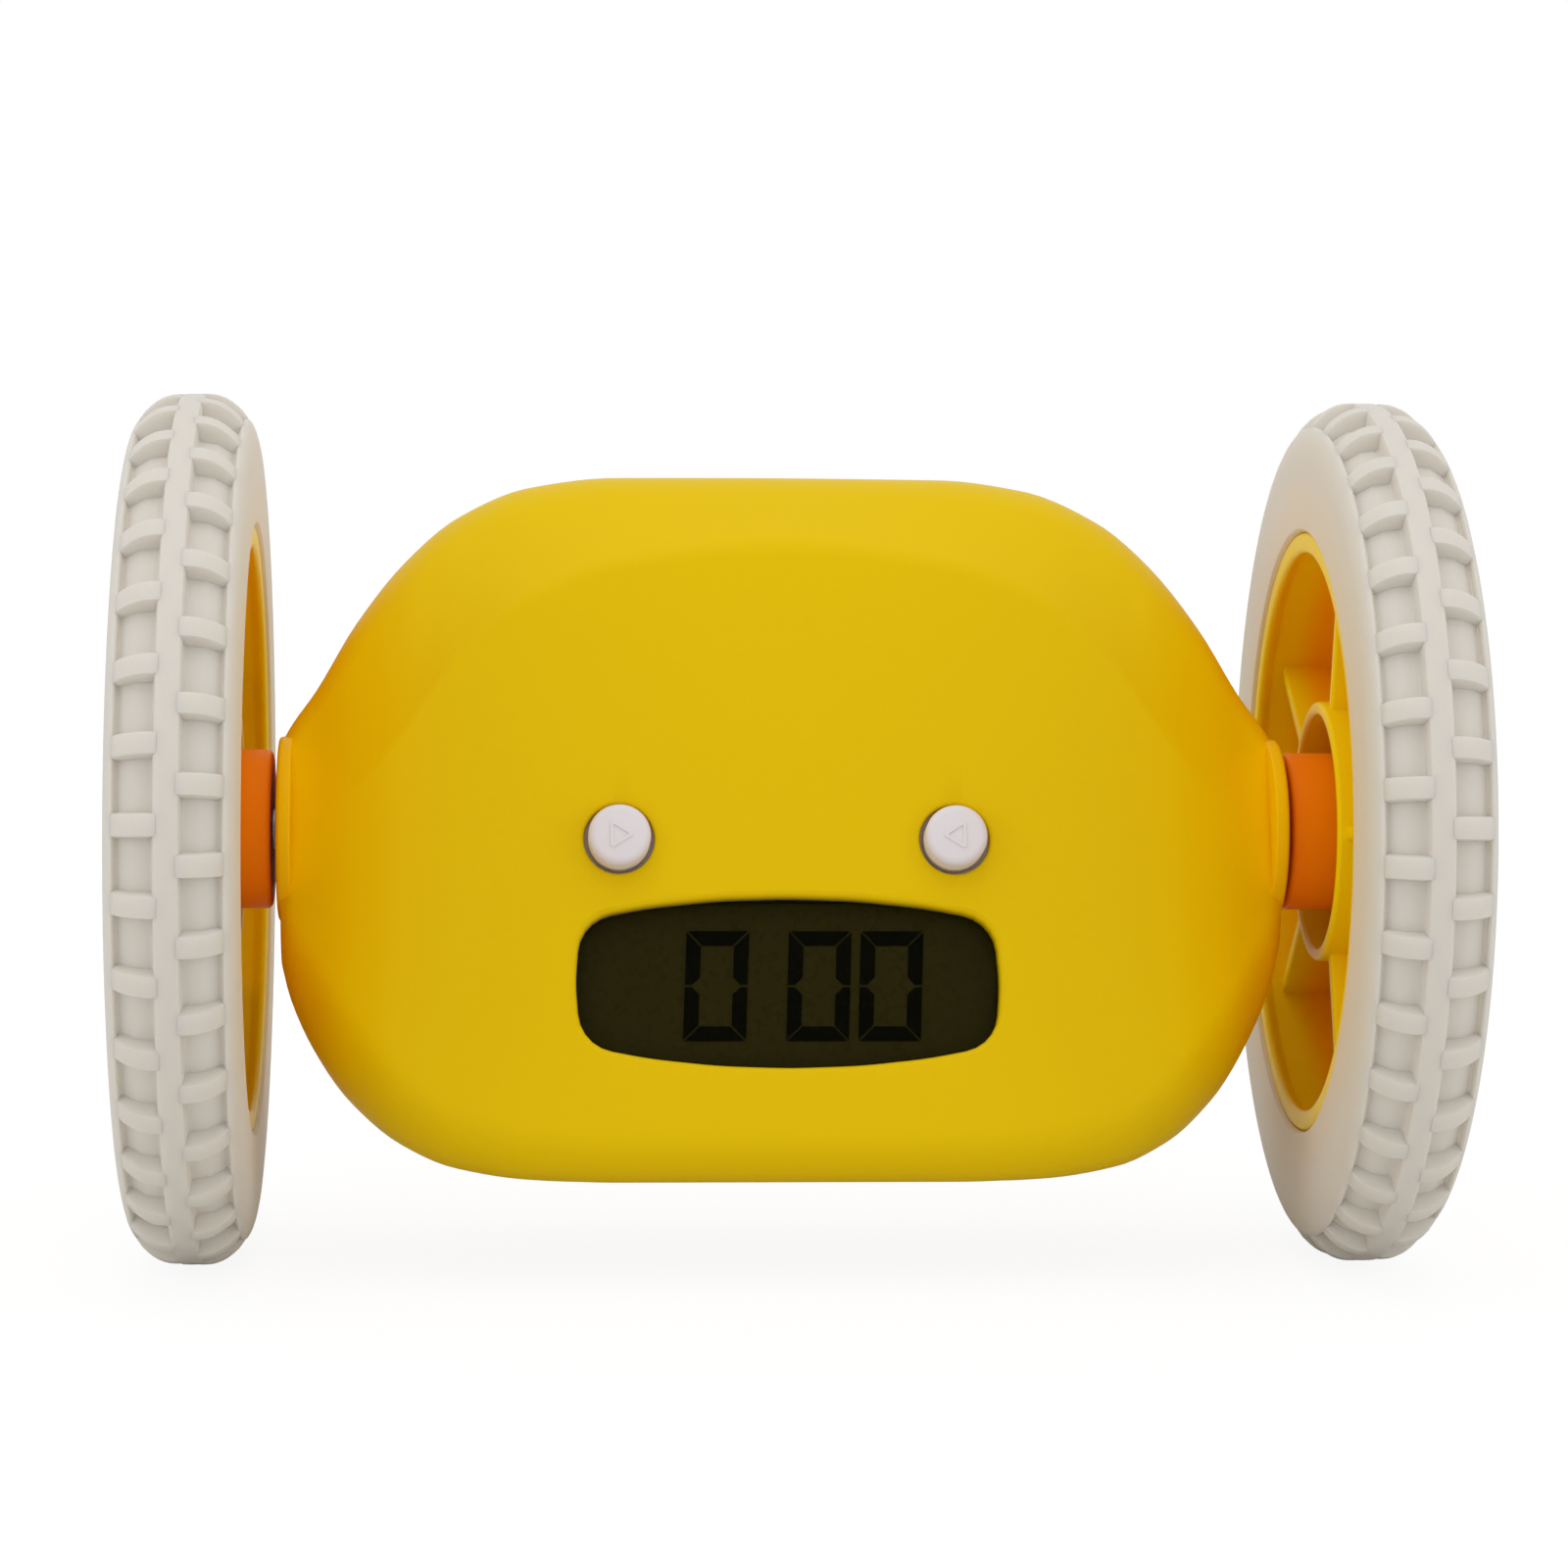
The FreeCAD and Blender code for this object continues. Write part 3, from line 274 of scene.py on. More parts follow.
finishes = {
    # the shell's ends are painted brighter than its middle: painted light that makes up for the shade
    # on the body's sides
    "shell_yellow": moulded("shell plastic with painted light", colour(234, 196, 0), colour(255, 212, 0), 0.4),
    # the rim is painted orange deeper in its bowl, between near and far: painted bounce light and shade
    # of a yellow recess; its outer faces keep the plain yellow
    "rim_yellow": moulded("rim plastic with painted bounce light", colour(248, 214, 0), colour(255, 180, 0), 0.36,
                          texture=0.2, near=0.0572, far=0.0606),
    "sleeve_orange": moulded("sleeve plastic", colour(255, 138, 0), colour(255, 136, 0), 0.42),
    "button_white": moulded("button plastic", colour(233, 225, 228), colour(233, 225, 228), 0.35),
    "tyre_white": rubber("tyre rubber"),
    "window_clear": clear_pane("window plastic"),
    "lcd_glass": display_glass("display glass"),
    "black_plastic": plain("black plastic", colour(34, 34, 36), 0.5),
    "board_green": laminate("board laminate"),
    "nylon_white": plain("nylon", colour(232, 230, 220), 0.45, streak=0.04),
    "steel": brushed("bright steel", colour(200, 200, 202), 0.3),
    "brass": brushed("turned brass", colour(214, 176, 104), 0.28),
    "spring_metal": brushed("plated spring metal", colour(208, 206, 198), 0.25),
    "cell_metal": cell_sleeve("cell sleeve"),
}
segment_ink = plain("display segment", colour(19, 18, 14), 0.5, shine=0.02)
# painted shade: the end bosses are a little darker and more orange than the shell's ends, standing in
# for the shade where the body meets the wheel
boss_yellow_with_painted_shade = moulded("boss plastic with painted shade", colour(250, 200, 0), colour(252, 200, 0), 0.4)


# Meshes

def finished(name, shape, material, body, nodes=(), sharp=32):
    """Turn a bmesh in millimetres into a finished piece that rides on a body."""
    mesh = bpy.data.meshes.new(name)
    shape.to_mesh(mesh)
    shape.free()
    return dressed(name, mesh, material, body, nodes, sharp, MM)


def dressed(name, mesh, material, body, nodes=(), sharp=32, scale=1.0):
    mesh.transform(Matrix.Scale(scale, 4))
    mesh.materials.clear()
    mesh.materials.append(material)
    mesh.shade_smooth()
    mesh.set_sharp_from_angle(angle=math.radians(sharp))
    obj = bpy.data.objects.new(name, mesh)
    bpy.context.scene.collection.objects.link(obj)
    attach(obj, body)
    if nodes:
        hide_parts(*nodes)
    return obj


def facing_out(shape):
    bmesh.ops.remove_doubles(shape, verts=shape.verts, dist=0.0005)
    bmesh.ops.dissolve_degenerate(shape, dist=0.0005, edges=shape.edges)
    stray = [edge for edge in shape.edges if not edge.link_faces]
    bmesh.ops.delete(shape, geom=stray, context="EDGES")
    bmesh.ops.recalc_face_normals(shape, faces=shape.faces)
    return shape


def rounded_path(corners, radii, steps=6, run=1):
    """Points round a closed outline whose corners are rounded and whose runs are divided."""
    count = len(corners)
    arcs = []
    for i in range(count):
        corner = Vector(corners[i])
        back = (Vector(corners[i - 1]) - corner).normalized()
        ahead = (Vector(corners[(i + 1) % count]) - corner).normalized()
        half = back.angle(ahead) / 2
        radius = radii[i] if hasattr(radii, "__len__") else radii
        middle = corner + (back + ahead).normalized() * (radius / math.sin(half))
        start = corner + back * (radius / math.tan(half)) - middle
        end = corner + ahead * (radius / math.tan(half)) - middle
        swing = math.pi - 2 * half
        arc = []
        for k in range(steps + 1):
            share = k / steps
            low, high = math.sin((1 - share) * swing), math.sin(share * swing)
            arc.append(middle + (start * low + end * high) / math.sin(swing))
        arcs.append(arc)
    points = []
    for i, arc in enumerate(arcs):
        points += arc
        following = arcs[(i + 1) % count][0]
        points += [arc[-1].lerp(following, k / run) for k in range(1, run)]
    return points


def skin(shape, rings, closed=False, caps=True):
    """Faces between rings of points, with the first and last ring filled."""
    rows = [[shape.verts.new(point) for point in ring] for ring in rings]
    pairs = list(zip(rows, rows[1:])) + ([(rows[-1], rows[0])] if closed else [])
    for low, high in pairs:
        for i in range(len(low)):
            k = (i + 1) % len(low)
            shape.faces.new((low[i], low[k], high[k], high[i]))
    if caps and not closed:
        shape.faces.new(rows[0])
        shape.faces.new(rows[-1])
    return shape


def turned(shape, profile, place, steps=96):
    """A closed (height, radius) profile turned about a place's own axis."""
    rings = []
    for k in range(steps):
        turn = 2 * math.pi * k / steps
        rings.append([place @ Vector((radius * math.cos(turn), radius * math.sin(turn), height))
                      for height, radius in profile])
    return skin(shape, rings, closed=True)


def turned_round(profile, radii, place, steps=96, shape=None):
    """A solid turned from a profile with rounded corners."""
    shape = shape or bmesh.new()
    return turned(shape, [(p.x, p.y) for p in rounded_path(profile, radii, 4)], place, steps)


def plate(shape, outline, levels, place):
    """A plate whose outline grows by its own amount at each height."""
    count = len(outline)
    outwards = []
    for i in range(count):
        along = (outline[(i + 1) % count] - outline[i - 1]).normalized()
        outwards.append(Vector((along.y, -along.x)))
    rings = []
    for height, grow in levels:
        ring = [outline[i] + outwards[i] * grow for i in range(count)]
        rings.append([place @ Vector((point.x, point.y, height)) for point in ring])
    return skin(shape, rings)


def mirrored(shape):
    bmesh.ops.transform(shape, matrix=Matrix.Scale(-1, 4, (1, 0, 0)), verts=shape.verts)
    bmesh.ops.reverse_faces(shape, faces=shape.faces)
    return shape


def round_bar(place, radius, levels, steps=48):
    """A rod along a place's axis, for cutting, that grows by its own amount at each height."""
    turns = [2 * math.pi * k / steps for k in range(steps)]
    outline = [Vector((radius * math.cos(turn), radius * math.sin(turn))) for turn in turns]
    return plate(bmesh.new(), outline, levels, place)


def joined(shapes):
    whole = bmesh.new()
    for shape in shapes:
        facing_out(shape)
        passing = bpy.data.meshes.new("passing")
        shape.to_mesh(passing)
        shape.free()
        whole.from_mesh(passing)
        bpy.data.meshes.remove(passing)
    return whole


def cut_from(shape, *tools):
    """Take each tool out of a closed shape in turn, and return the plain mesh."""
    made = []
    for source in (shape, *tools):
        mesh = bpy.data.meshes.new("cutting")
        source.to_mesh(mesh)
        source.free()
        obj = bpy.data.objects.new("cutting", mesh)
        bpy.context.scene.collection.objects.link(obj)
        made.append(obj)
    for tool in made[1:]:
        cut = made[0].modifiers.new("cut", "BOOLEAN")
        cut.operation = "DIFFERENCE"
        cut.solver = "EXACT"
        cut.object = tool
    bpy.context.view_layer.update()
    ready = made[0].evaluated_get(bpy.context.evaluated_depsgraph_get())
    result = bpy.data.meshes.new_from_object(ready)
    for obj in made:
        bpy.data.objects.remove(obj)
    return result


# What repeats round the axle

def round_the_axle():
    """A geometry tree that sets copies of one shape round the axle line."""
    tree = bpy.data.node_groups.new("round_the_axle", "GeometryNodeTree")
    tree.is_modifier = True
    face = tree.interface
    face.new_socket("Shape", in_out="INPUT", socket_type="NodeSocketGeometry")
    for name, kind in (("Count", "NodeSocketInt"), ("First Angle", "NodeSocketFloat"),
                       ("Axle Height", "NodeSocketFloat"), ("Finish", "NodeSocketMaterial")):
        face.new_socket(name, in_out="INPUT", socket_type=kind)
    face.new_socket("Shape", in_out="OUTPUT", socket_type="NodeSocketGeometry")

    def node(kind, operation=None, **links):
        made = tree.nodes.new(kind)
        if operation:
            made.operation = operation
        for key, value in links.items():
            numbered = key[0] == "i" and key[1:].isdigit()
            socket = made.inputs[int(key[1:]) if numbered else key]
            if isinstance(value, bpy.types.NodeSocket):
                tree.links.new(value, socket)
            else:
                socket.default_value = value
        return made

    given = tree.nodes.new("NodeGroupInput").outputs
    index = node("GeometryNodeInputIndex").outputs[0]
    step = node("ShaderNodeMath", "DIVIDE", i0=2 * math.pi, i1=given["Count"]).outputs[0]
    turn = node("ShaderNodeMath", "MULTIPLY_ADD", i0=index, i1=step, i2=given["First Angle"]).outputs[0]
    height = node("ShaderNodeCombineXYZ", Z=given["Axle Height"]).outputs[0]
    points = node("GeometryNodePoints", Count=given["Count"], Position=height)
    turned_by = node("ShaderNodeCombineXYZ", X=turn).outputs[0]
    copies = node("GeometryNodeInstanceOnPoints", Points=points.outputs[0], Instance=given["Shape"],
                  Rotation=turned_by)
    real = node("GeometryNodeRealizeInstances", Geometry=copies.outputs[0])
    coated = node("GeometryNodeSetMaterial", Geometry=real.outputs[0], Material=given["Finish"])
    node("NodeGroupOutput", Shape=coated.outputs[0])
    return tree


axle_ring = round_the_axle()


def ringed(shape, count, first_angle, material):
    """Copies of a shape, whose Z is counted from the axle, as one bmesh in millimetres."""
    mesh = bpy.data.meshes.new("one")
    shape.to_mesh(mesh)
    shape.free()
    holder = bpy.data.objects.new("one", mesh)
    bpy.context.scene.collection.objects.link(holder)
    modifier = holder.modifiers.new("ring", "NODES")
    modifier.node_group = axle_ring
    inputs = {item.name: item.identifier for item in axle_ring.interface.items_tree
              if item.in_out == "INPUT"}
    modifier[inputs["Count"]] = count
    modifier[inputs["First Angle"]] = first_angle
    modifier[inputs["Axle Height"]] = AXLE
    modifier[inputs["Finish"]] = material
    bpy.context.view_layer.update()
    ready = holder.evaluated_get(bpy.context.evaluated_depsgraph_get())
    result = bpy.data.meshes.new_from_object(ready)
    bpy.data.objects.remove(holder)
    whole = bmesh.new()
    whole.from_mesh(result)
    return whole


# Body form

BODY_END = 51.2
BODY_BASE = -34.2
BODY_REAR = 23.0
WALL = 2.0
SEAM, SEAM_GAP = 12.0, 0.12
TOP_START = 7.0  # where the flat top begins behind the axle line, at the middle
SHOULDER_SHIFT = 4.5  # how much further forward it begins near the ends

# Distance from the middle, then top, bottom, crease, how far the face draws back, rear,
# and the radii of the crease and the foot
STATIONS = [
    (0.0, 36.3, 34.4, 29.8, 0.0, 23.0, 4.0, 4.5),
    (17.0, 36.2, 34.4, 27.9, 0.0, 23.0, 4.0, 4.5),
    (26.0, 35.1, 34.1, 24.4, 0.0, 23.0, 4.5, 4.8),
    (33.5, 31.9, 33.1, 18.0, 0.1, 21.6, 5.5, 5.6),
    (39.0, 27.2, 31.1, 10.2, 0.7, 20.0, 7.5, 7.0),
    (44.0, 20.8, 27.6, 4.6, 2.2, 17.6, 8.5, 8.6),
    (48.0, 14.0, 22.6, 1.6, 4.2, 14.6, 8.0, 9.0),
    (50.4, 10.6, 17.4, 0.6, 5.6, 11.8, 6.5, 7.4),
    (51.2, 9.2, 14.2, 0.4, 6.4, 10.4, 5.5, 6.0),
]


def station_at(x):
    """The body's measures at a distance from its middle, on a smooth curve without bumps."""
    xs = [row[0] for row in STATIONS]
    i = max(k for k in range(len(xs) - 1) if xs[k] <= x)
    measures = []
    for column in range(1, len(STATIONS[0])):
        values = [row[column] for row in STATIONS]
        slopes = [(values[k + 1] - values[k]) / (xs[k + 1] - xs[k]) for k in range(len(xs) - 1)]

        def tangent(k):
            if k == 0:
                return 0.0
            if k == len(slopes):
                return slopes[-1]
            a, b = slopes[k - 1], slopes[k]
            return 0.0 if a * b <= 0 else 2 * a * b / (a + b)

        width = xs[i + 1] - xs[i]
        t = (x - xs[i]) / width
        measures.append(values[i] * (1 + 2 * t) * (1 - t) ** 2
                        + tangent(i) * width * t * (1 - t) ** 2
                        + values[i + 1] * t * t * (3 - 2 * t)
                        + tangent(i + 1) * width * t * t * (t - 1))
    return measures


def drawn_in(corners, inset):
    """The corners of an outline that runs clockwise, each side moved inwards."""
    points = [Vector(corner) for corner in corners]
    sides = []
    for i, start in enumerate(points):
        along = (points[(i + 1) % len(points)] - start).normalized()
        sides.append((start + Vector((along.y, -along.x)) * inset, along))
    moved = []
    for i, (q, v) in enumerate(sides):
        p, u = sides[i - 1]
        step = ((q - p).x * v.y - (q - p).y * v.x) / (u.x * v.y - u.y * v.x)
        moved.append(p + u * step)
    return moved


def body_ring(x, inset):
    top, bottom, crease, draw_back, rear, crease_radius, foot_radius = station_at(abs(x))
    scale = (top + bottom) / (STATIONS[0][1] + STATIONS[0][2])
    face_y = draw_back - FACE_AHEAD
    lean = math.tan(FACE_LEAN)
    forward = SHOULDER_SHIFT * min(1.0, max(0.0, (abs(x) - 20.0) / 18.0)) ** 1.5
    corners = [(face_y - bottom * lean, -bottom), (face_y + crease * lean, crease),
               (TOP_START * rear / BODY_REAR - forward, top), (rear, top), (rear, -bottom)]
    radii = [foot_radius, crease_radius, 10.0 * scale, 12.6 * scale, 6.0 + (1 - scale) * 4]
    radii = [max(radius - inset, 1.0) for radius in radii]
    ring = rounded_path(drawn_in(corners, inset), radii, 12, 12)
    place = x * (BODY_END - inset) / BODY_END
    return [Vector((place, point.x, AXLE + max(point.y, BODY_BASE + inset))) for point in ring]


def body_form(inset=0.0, half=44):
    """The whole body as one closed shape."""
    reaches = [BODY_END * (1 - (1 - k / half) ** 1.5) for k in range(half + 1)]
    xs = [-x for x in reversed(reaches[1:])] + reaches
    return facing_out(skin(bmesh.new(), [body_ring(x, inset) for x in xs]))


def body_part(keep_front, seam_y):
    """The front or rear part of the body, closed at the seam."""
    shape = body_form()
    everything = shape.verts[:] + shape.edges[:] + shape.faces[:]
    bmesh.ops.bisect_plane(shape, geom=everything, dist=1e-4,
                           plane_co=(0, seam_y, 0), plane_no=(0, 1, 0),
                           clear_outer=keep_front, clear_inner=not keep_front)
    bmesh.ops.holes_fill(shape, edges=[edge for edge in shape.edges if edge.is_boundary])
    return facing_out(shape)


# Holes of the body

WINDOW_DROP = 14.7  # the opening's middle below the button row
BUTTON_X = 17.0
SETTING_BUTTONS = {"time_set": 8.0, "alarm_set": 20.0}
SETTING_DROP = 11.0  # height of the setting buttons above the axle line
SPEAKER_X, SPEAKER_DROP, SPEAKER_PITCH, SPEAKER_RINGS = -14.0, 6.0, 3.0, 3


def window_outline():
    """The display opening, bulged above and below."""
    upper = [(20.9, 6.5), (14.0, 7.85), (7.0, 8.6), (0.0, 8.82),
             (-7.0, 8.6), (-14.0, 7.85), (-20.9, 6.5)]
    lower = [(x, 0.2 - z) for x, z in reversed(upper)]
    side = [(-21.4, 0.0)]
    corners = upper + side + lower + [(21.4, 0.0)]
    radii = [4.2, 50, 60, 60, 60, 50, 4.2, 20, 4.2, 50, 60, 60, 60, 50, 4.2, 20]
    return [point - Vector((0, WINDOW_DROP)) for point in rounded_path(corners, radii, 5)]


def eased(depth, width, steps=6):
    """Heights and growths of a rounded edge that opens towards the outside."""
    levels = []
    for k in range(steps + 1):
        share = k / steps
        levels.append((-depth * (1 - share), width * (1 - math.sqrt(max(0.0, 1 - share * share)))))
    return levels


def face_hole(low, depth, width):
    """Heights and growths of a hole through the face, with a rounded mouth."""
    return [(low, 0)] + eased(depth, width) + [(2, width)]


def back_hole(depth, width):
    """Heights and growths of a hole through the back, with a small bevel at its mouth."""
    return [(BODY_REAR - 4, 0), (BODY_REAR - depth, 0), (BODY_REAR, width), (BODY_REAR + 2, width)]


def bottom_opening():
    """The opening that the bottom cover closes."""
    wide, front, rear, above = 31.15, -12.35, 16.75, 2.0
    corners = ((-wide, front), (wide, front), (wide, rear), (-wide, rear))
    outline = rounded_path([Vector(point) for point in corners], 4.15, 8)
    return plate(bmesh.new(), outline, [(above, 0), (AXLE - 30.2, 0)], Matrix())


def front_cutters():
    cutters = [plate(bmesh.new(), window_outline(), face_hole(-7, 0.7, 0.6), FACE_PLACE)]
    for x in (-BUTTON_X, BUTTON_X):
        place = FACE_PLACE @ Matrix.Translation((x, 0, 0))
        cutters.append(round_bar(place, 3.6, face_hole(-5, 0.35, 0.3), 64))
    for side in SIDES.values():
        cutters.append(round_bar(AXLE_PLACE, 3.5, [(side * 40, 0), (side * 60, 0)]))
    cutters.append(bottom_opening())
    return cutters


def rear_cutters():
    holes = []
    for ring in range(SPEAKER_RINGS):
        count = max(1, 6 * ring)
        reach = SPEAKER_PITCH * ring
        for k in range(count):
            turn = 2 * math.pi * k / count
            spot = (SPEAKER_X + reach * math.cos(turn), -SPEAKER_DROP - reach * math.sin(turn), 0)
            place = BACK_PLACE @ Matrix.Translation(spot)
            holes.append(round_bar(place, 0.8, back_hole(0.2, 0.18), 20))
    for x in (-31.0, 31.0):
        for z in (23.0, -24.0):
            place = BACK_PLACE @ Matrix.Translation((x, -z, 0))
            holes.append(round_bar(place, 2.7, [(15, 0), (30, 0)], 40))
    for x in SETTING_BUTTONS.values():
        place = BACK_PLACE @ Matrix.Translation((x, -SETTING_DROP, 0))
        holes.append(round_bar(place, 3.25, back_hole(0.3, 0.25), 48))
    corners = ((10.3, -1.5), (17.7, -1.5), (17.7, 1.5), (10.3, 1.5))
    slot = rounded_path([Vector(point) for point in corners], 0.4, 4)
    holes.append(plate(bmesh.new(), slot, back_hole(0.2, 0.15), BACK_PLACE))
    holes.append(bottom_opening())
    return holes


def dress_body():
    halves = (("front", True, SEAM - SEAM_GAP / 2, front_cutters),
              ("rear", False, SEAM + SEAM_GAP / 2, rear_cutters))
    for name, keep_front, seam_y, cutters in halves:
        mesh = cut_from(body_part(keep_front, seam_y), body_form(WALL, 24), joined(cutters()))
        dressed(name + "_skin", mesh, finishes["shell_yellow"], "body",
                (name + "_shell",), 30, MM)
    low, high, bore, radius = 50.2, 51.6, 3.5, 9.5
    for name, side in SIDES.items():
        boss = turned_round([(low, bore), (high, bore), (high, radius), (low, radius)],
                            [0.05, 0.1, 0.4, 0.1], AXLE_PLACE)
        facing_out(boss)
        # the end bosses wear the darker plastic with the painted shade
        finished(name + "_end_boss", boss if side > 0 else mirrored(boss), boss_yellow_with_painted_shade,
                 "body")


# Display

def display_segments():
    """The dark bars of three digits, each with slanted ends, just in front of the glass."""
    shape = bmesh.new()
    wide, tall, bar, gap = 6.35, 11.25, 1.5, 0.13
    slant = math.tan(math.radians(2.2))
    half = tall / 2
    inner = wide - bar
    bars = [[(gap, half), (wide - gap, half), (wide - bar - gap, half - bar),
             (bar + gap, half - bar)],
            [(wide, half - gap), (wide, gap), (wide - bar / 2, gap), (inner, gap + bar / 2),
             (inner, half - bar - gap)],
            [(wide, -gap), (wide, -half + gap), (inner, -half + bar + gap),
             (inner, -gap - bar / 2), (wide - bar / 2, -gap)]]
    bars.append([(x, -z) for x, z in bars[0]])
    bars += [[(wide - x, z) for x, z in bars[1]], [(wide - x, z) for x, z in bars[2]]]
    for left in (-10.35, 0.05, 7.35):
        for corners in bars:
            points = [Vector((left + x + slant * z, z + 0.1 - WINDOW_DROP)) for x, z in corners]
            area = sum(a.x * b.y - b.x * a.y for a, b in zip(points, points[1:] + points[:1]))
            if area < 0:
                points.reverse()
            plate(shape, points, [(-2.9, 0), (-2.82, 0)], FACE_PLACE)
    return facing_out(shape)


def dress_display():
    outline = window_outline()
    levels = [(-2.6, -0.14), (-1.05, -0.14), (-0.95, -0.18), (-0.9, -0.3)]
    pane = facing_out(plate(bmesh.new(), outline, levels, FACE_PLACE))
    finished("window_pane", pane, finishes["window_clear"], "body",
             ("display_window",), 25)
    finished("display_digits", display_segments(), segment_ink, "body")


# Buttons

POLE = 0.0001  # radius at a corner that lies on the turning axis


def arrow(shape, x, point_right, place, height, size=1.55):
    """A small raised triangle on a button."""
    turn = 1 if point_right else -1
    corners = [Vector((x - turn * size * 0.6, -size)), Vector((x + turn * size * 1.0, 0)),
               Vector((x - turn * size * 0.6, size))]
    if turn < 0:
        corners.reverse()
    path = rounded_path(corners, 0.25, 4)
    centre = sum(corners, Vector((0, 0))) / 3
    inner = rounded_path([corner.lerp(centre, 0.36) for corner in corners], 0.08, 4)
    count = len(path)
    sunk, raised = height - 0.2, height + 0.14
    rows = []
    for points, top in ((path, sunk), (path, raised), (inner, raised), (inner, sunk)):
        rows.append([shape.verts.new(place @ Vector((p.x, p.y, top))) for p in points])
    for low, high in zip(rows, rows[1:] + rows[:1]):
        for i in range(count):
            k = (i + 1) % count
            shape.faces.new((low[i], low[k], high[k], high[i]))
    return shape


def dress_buttons():
    for name, side in SIDES.items():
        x = side * BUTTON_X
        top = 2.5
        place = FACE_PLACE @ Matrix.Translation((x, 0, 0))
        cap = turned_round([(-2.7, 0.0), (-2.7, 4.4), (-2.0, 4.4), (-2.0, 3.15), (top, 3.15),
                            (top, 0.0)], [POLE, 0.1, 0.1, 0.05, 0.75, POLE], place, 72)
        facing_out(cap)
        finished(name + "_button_cap", cap, finishes["button_white"],
                 name + "_button", (name + "_button",))
        mark = facing_out(arrow(bmesh.new(), x, side < 0, FACE_PLACE, top))
        finished(name + "_button_arrow", mark, finishes["button_white"],
                 name + "_button")
    for name, x in SETTING_BUTTONS.items():
        place = BACK_PLACE @ Matrix.Translation((x, -SETTING_DROP, 0))
        cap = turned_round([(20.0, 0.0), (20.0, 4.0), (20.8, 4.0), (20.8, 3.0), (24.2, 3.0),
                            (24.2, 0.0)], [POLE, 0.1, 0.1, 0.05, 0.45, POLE], place, 56)
        facing_out(cap)
        finished(name + "_cap", cap, finishes["button_white"], name + "_button",
                 (name + "_button",))


# Wheels

PLANE, HALF = 60.1, 6.3  # the tyre's middle plane, and half its width
RIB, LUG_END, LUGS = 1.3, 5.3, 36
LIP_X = PLANE - HALF + 0.4
CROWN_DROP, CROWN_REACH = 2.56, 5.5
RIBS, FIRST_RIB = 5, math.radians(14)


def crown(offset):
    """Radius of the tread's outer surface at a distance from the tyre's middle."""
    reach = max(abs(offset) - RIB, 0) / (CROWN_REACH - RIB)
    return AXLE - CROWN_DROP * reach ** 2.2


def tyre_profile():
    """The carcass with its centre rib, pocket floors and low shoulder rims."""
    half = [(-5.8, 31.2), (-6.22, 31.5), (-6.3, 32.2), (-6.3, 38.0), (-6.27, 39.0), (-6.18, 39.9),
            (-6.03, 40.6), (-5.84, 41.2), (-5.62, 41.65), (-5.42, 41.92), (-5.25, 42.02),
            (-5.12, 41.96), (-5.02, 41.75), (-4.93, 41.42), (-4.75, 41.3), (-3.2, 42.3),
            (-2.0, 42.5), (-1.7, 42.5), (-1.45, 42.62), (-1.34, 42.95), (-1.27, 44.0),
            (-1.12, 44.33), (-0.8, 44.48), (0.0, 44.5)]
    outer = [(-x, r) for x, r in reversed(half[3:-1])]
    outer += [(6.3, 33.2), (6.1, 32.6), (5.7, 32.1), (4.1, 32.0), (4.1, 31.0), (-4.7, 31.0),
              (-4.7, 31.2)]
    return [(PLANE + x, r) for x, r in half + outer]


def lug(side):
    """One block of the tread, with soft edges, as it stands at the top of the wheel."""
    shape = bmesh.new()
    wide, soft = 1.12, 0.4
    rings = []
    for k in range(9):
        offset = 0.9 + (LUG_END - 0.9) * k / 8
        top = crown(offset) - (0.12 if k == 8 else 0.0)
        low = 41.4 if k < 7 else 40.8
        x = PLANE + side * offset
        rings.append([Vector((x, t, r)) for t, r in (
            (-wide - 0.12, low), (-wide, top - soft), (-wide + 0.1, top - 0.1), (-wide + soft, top),
            (wide - soft, top), (wide - 0.1, top - 0.1), (wide, top - soft), (wide + 0.12, low))])
    return facing_out(skin(shape, rings))


def rim_shape():
    """The dished wheel: lip, barrel, web, hub and the ring round it."""
    profile = [(LIP_X, 28.6), (LIP_X, 31.15), (LIP_X + 1.2, 31.15), (LIP_X + 1.2, 30.95),
               (64.2, 30.95), (64.2, 31.95), (65.7, 31.95), (65.8, 29.0), (63.8, 26.2),
               (63.8, 2.0), (58.1, 2.0), (58.1, 6.0), (62.2, 6.4), (62.2, 29.2),
               (LIP_X + 1.4, 29.6)]
    radii = [0.45, 0.45, 0.05, 0.05, 0.1, 0.4, 0.5, 0.8, 1.4, 0.1, 0.05, 0.4, 0.6, 0.8, 0.5]
    shape = turned_round(profile, radii, AXLE_PLACE, 120)
    ring = [(LIP_X + 1.6, 12.2), (LIP_X + 1.6, 13.5), (62.6, 13.6), (62.6, 12.0)]
    turned_round(ring, [0.45, 0.45, 0.1, 0.1], AXLE_PLACE, 96, shape)
    return facing_out(shape)


def rib_shape():
    near, far = LIP_X + 2.4, 62.7
    corners = ((-0.7, near), (0.7, near), (0.8, far), (-0.8, far))
    outline = rounded_path([Vector(point) for point in corners], [0.35, 0.35, 0.1, 0.1], 4)
    rings = [[Vector((p.y, p.x, r)) for p in outline] for r in (12.9, 21.0, 29.9)]
    return facing_out(skin(bmesh.new(), rings))


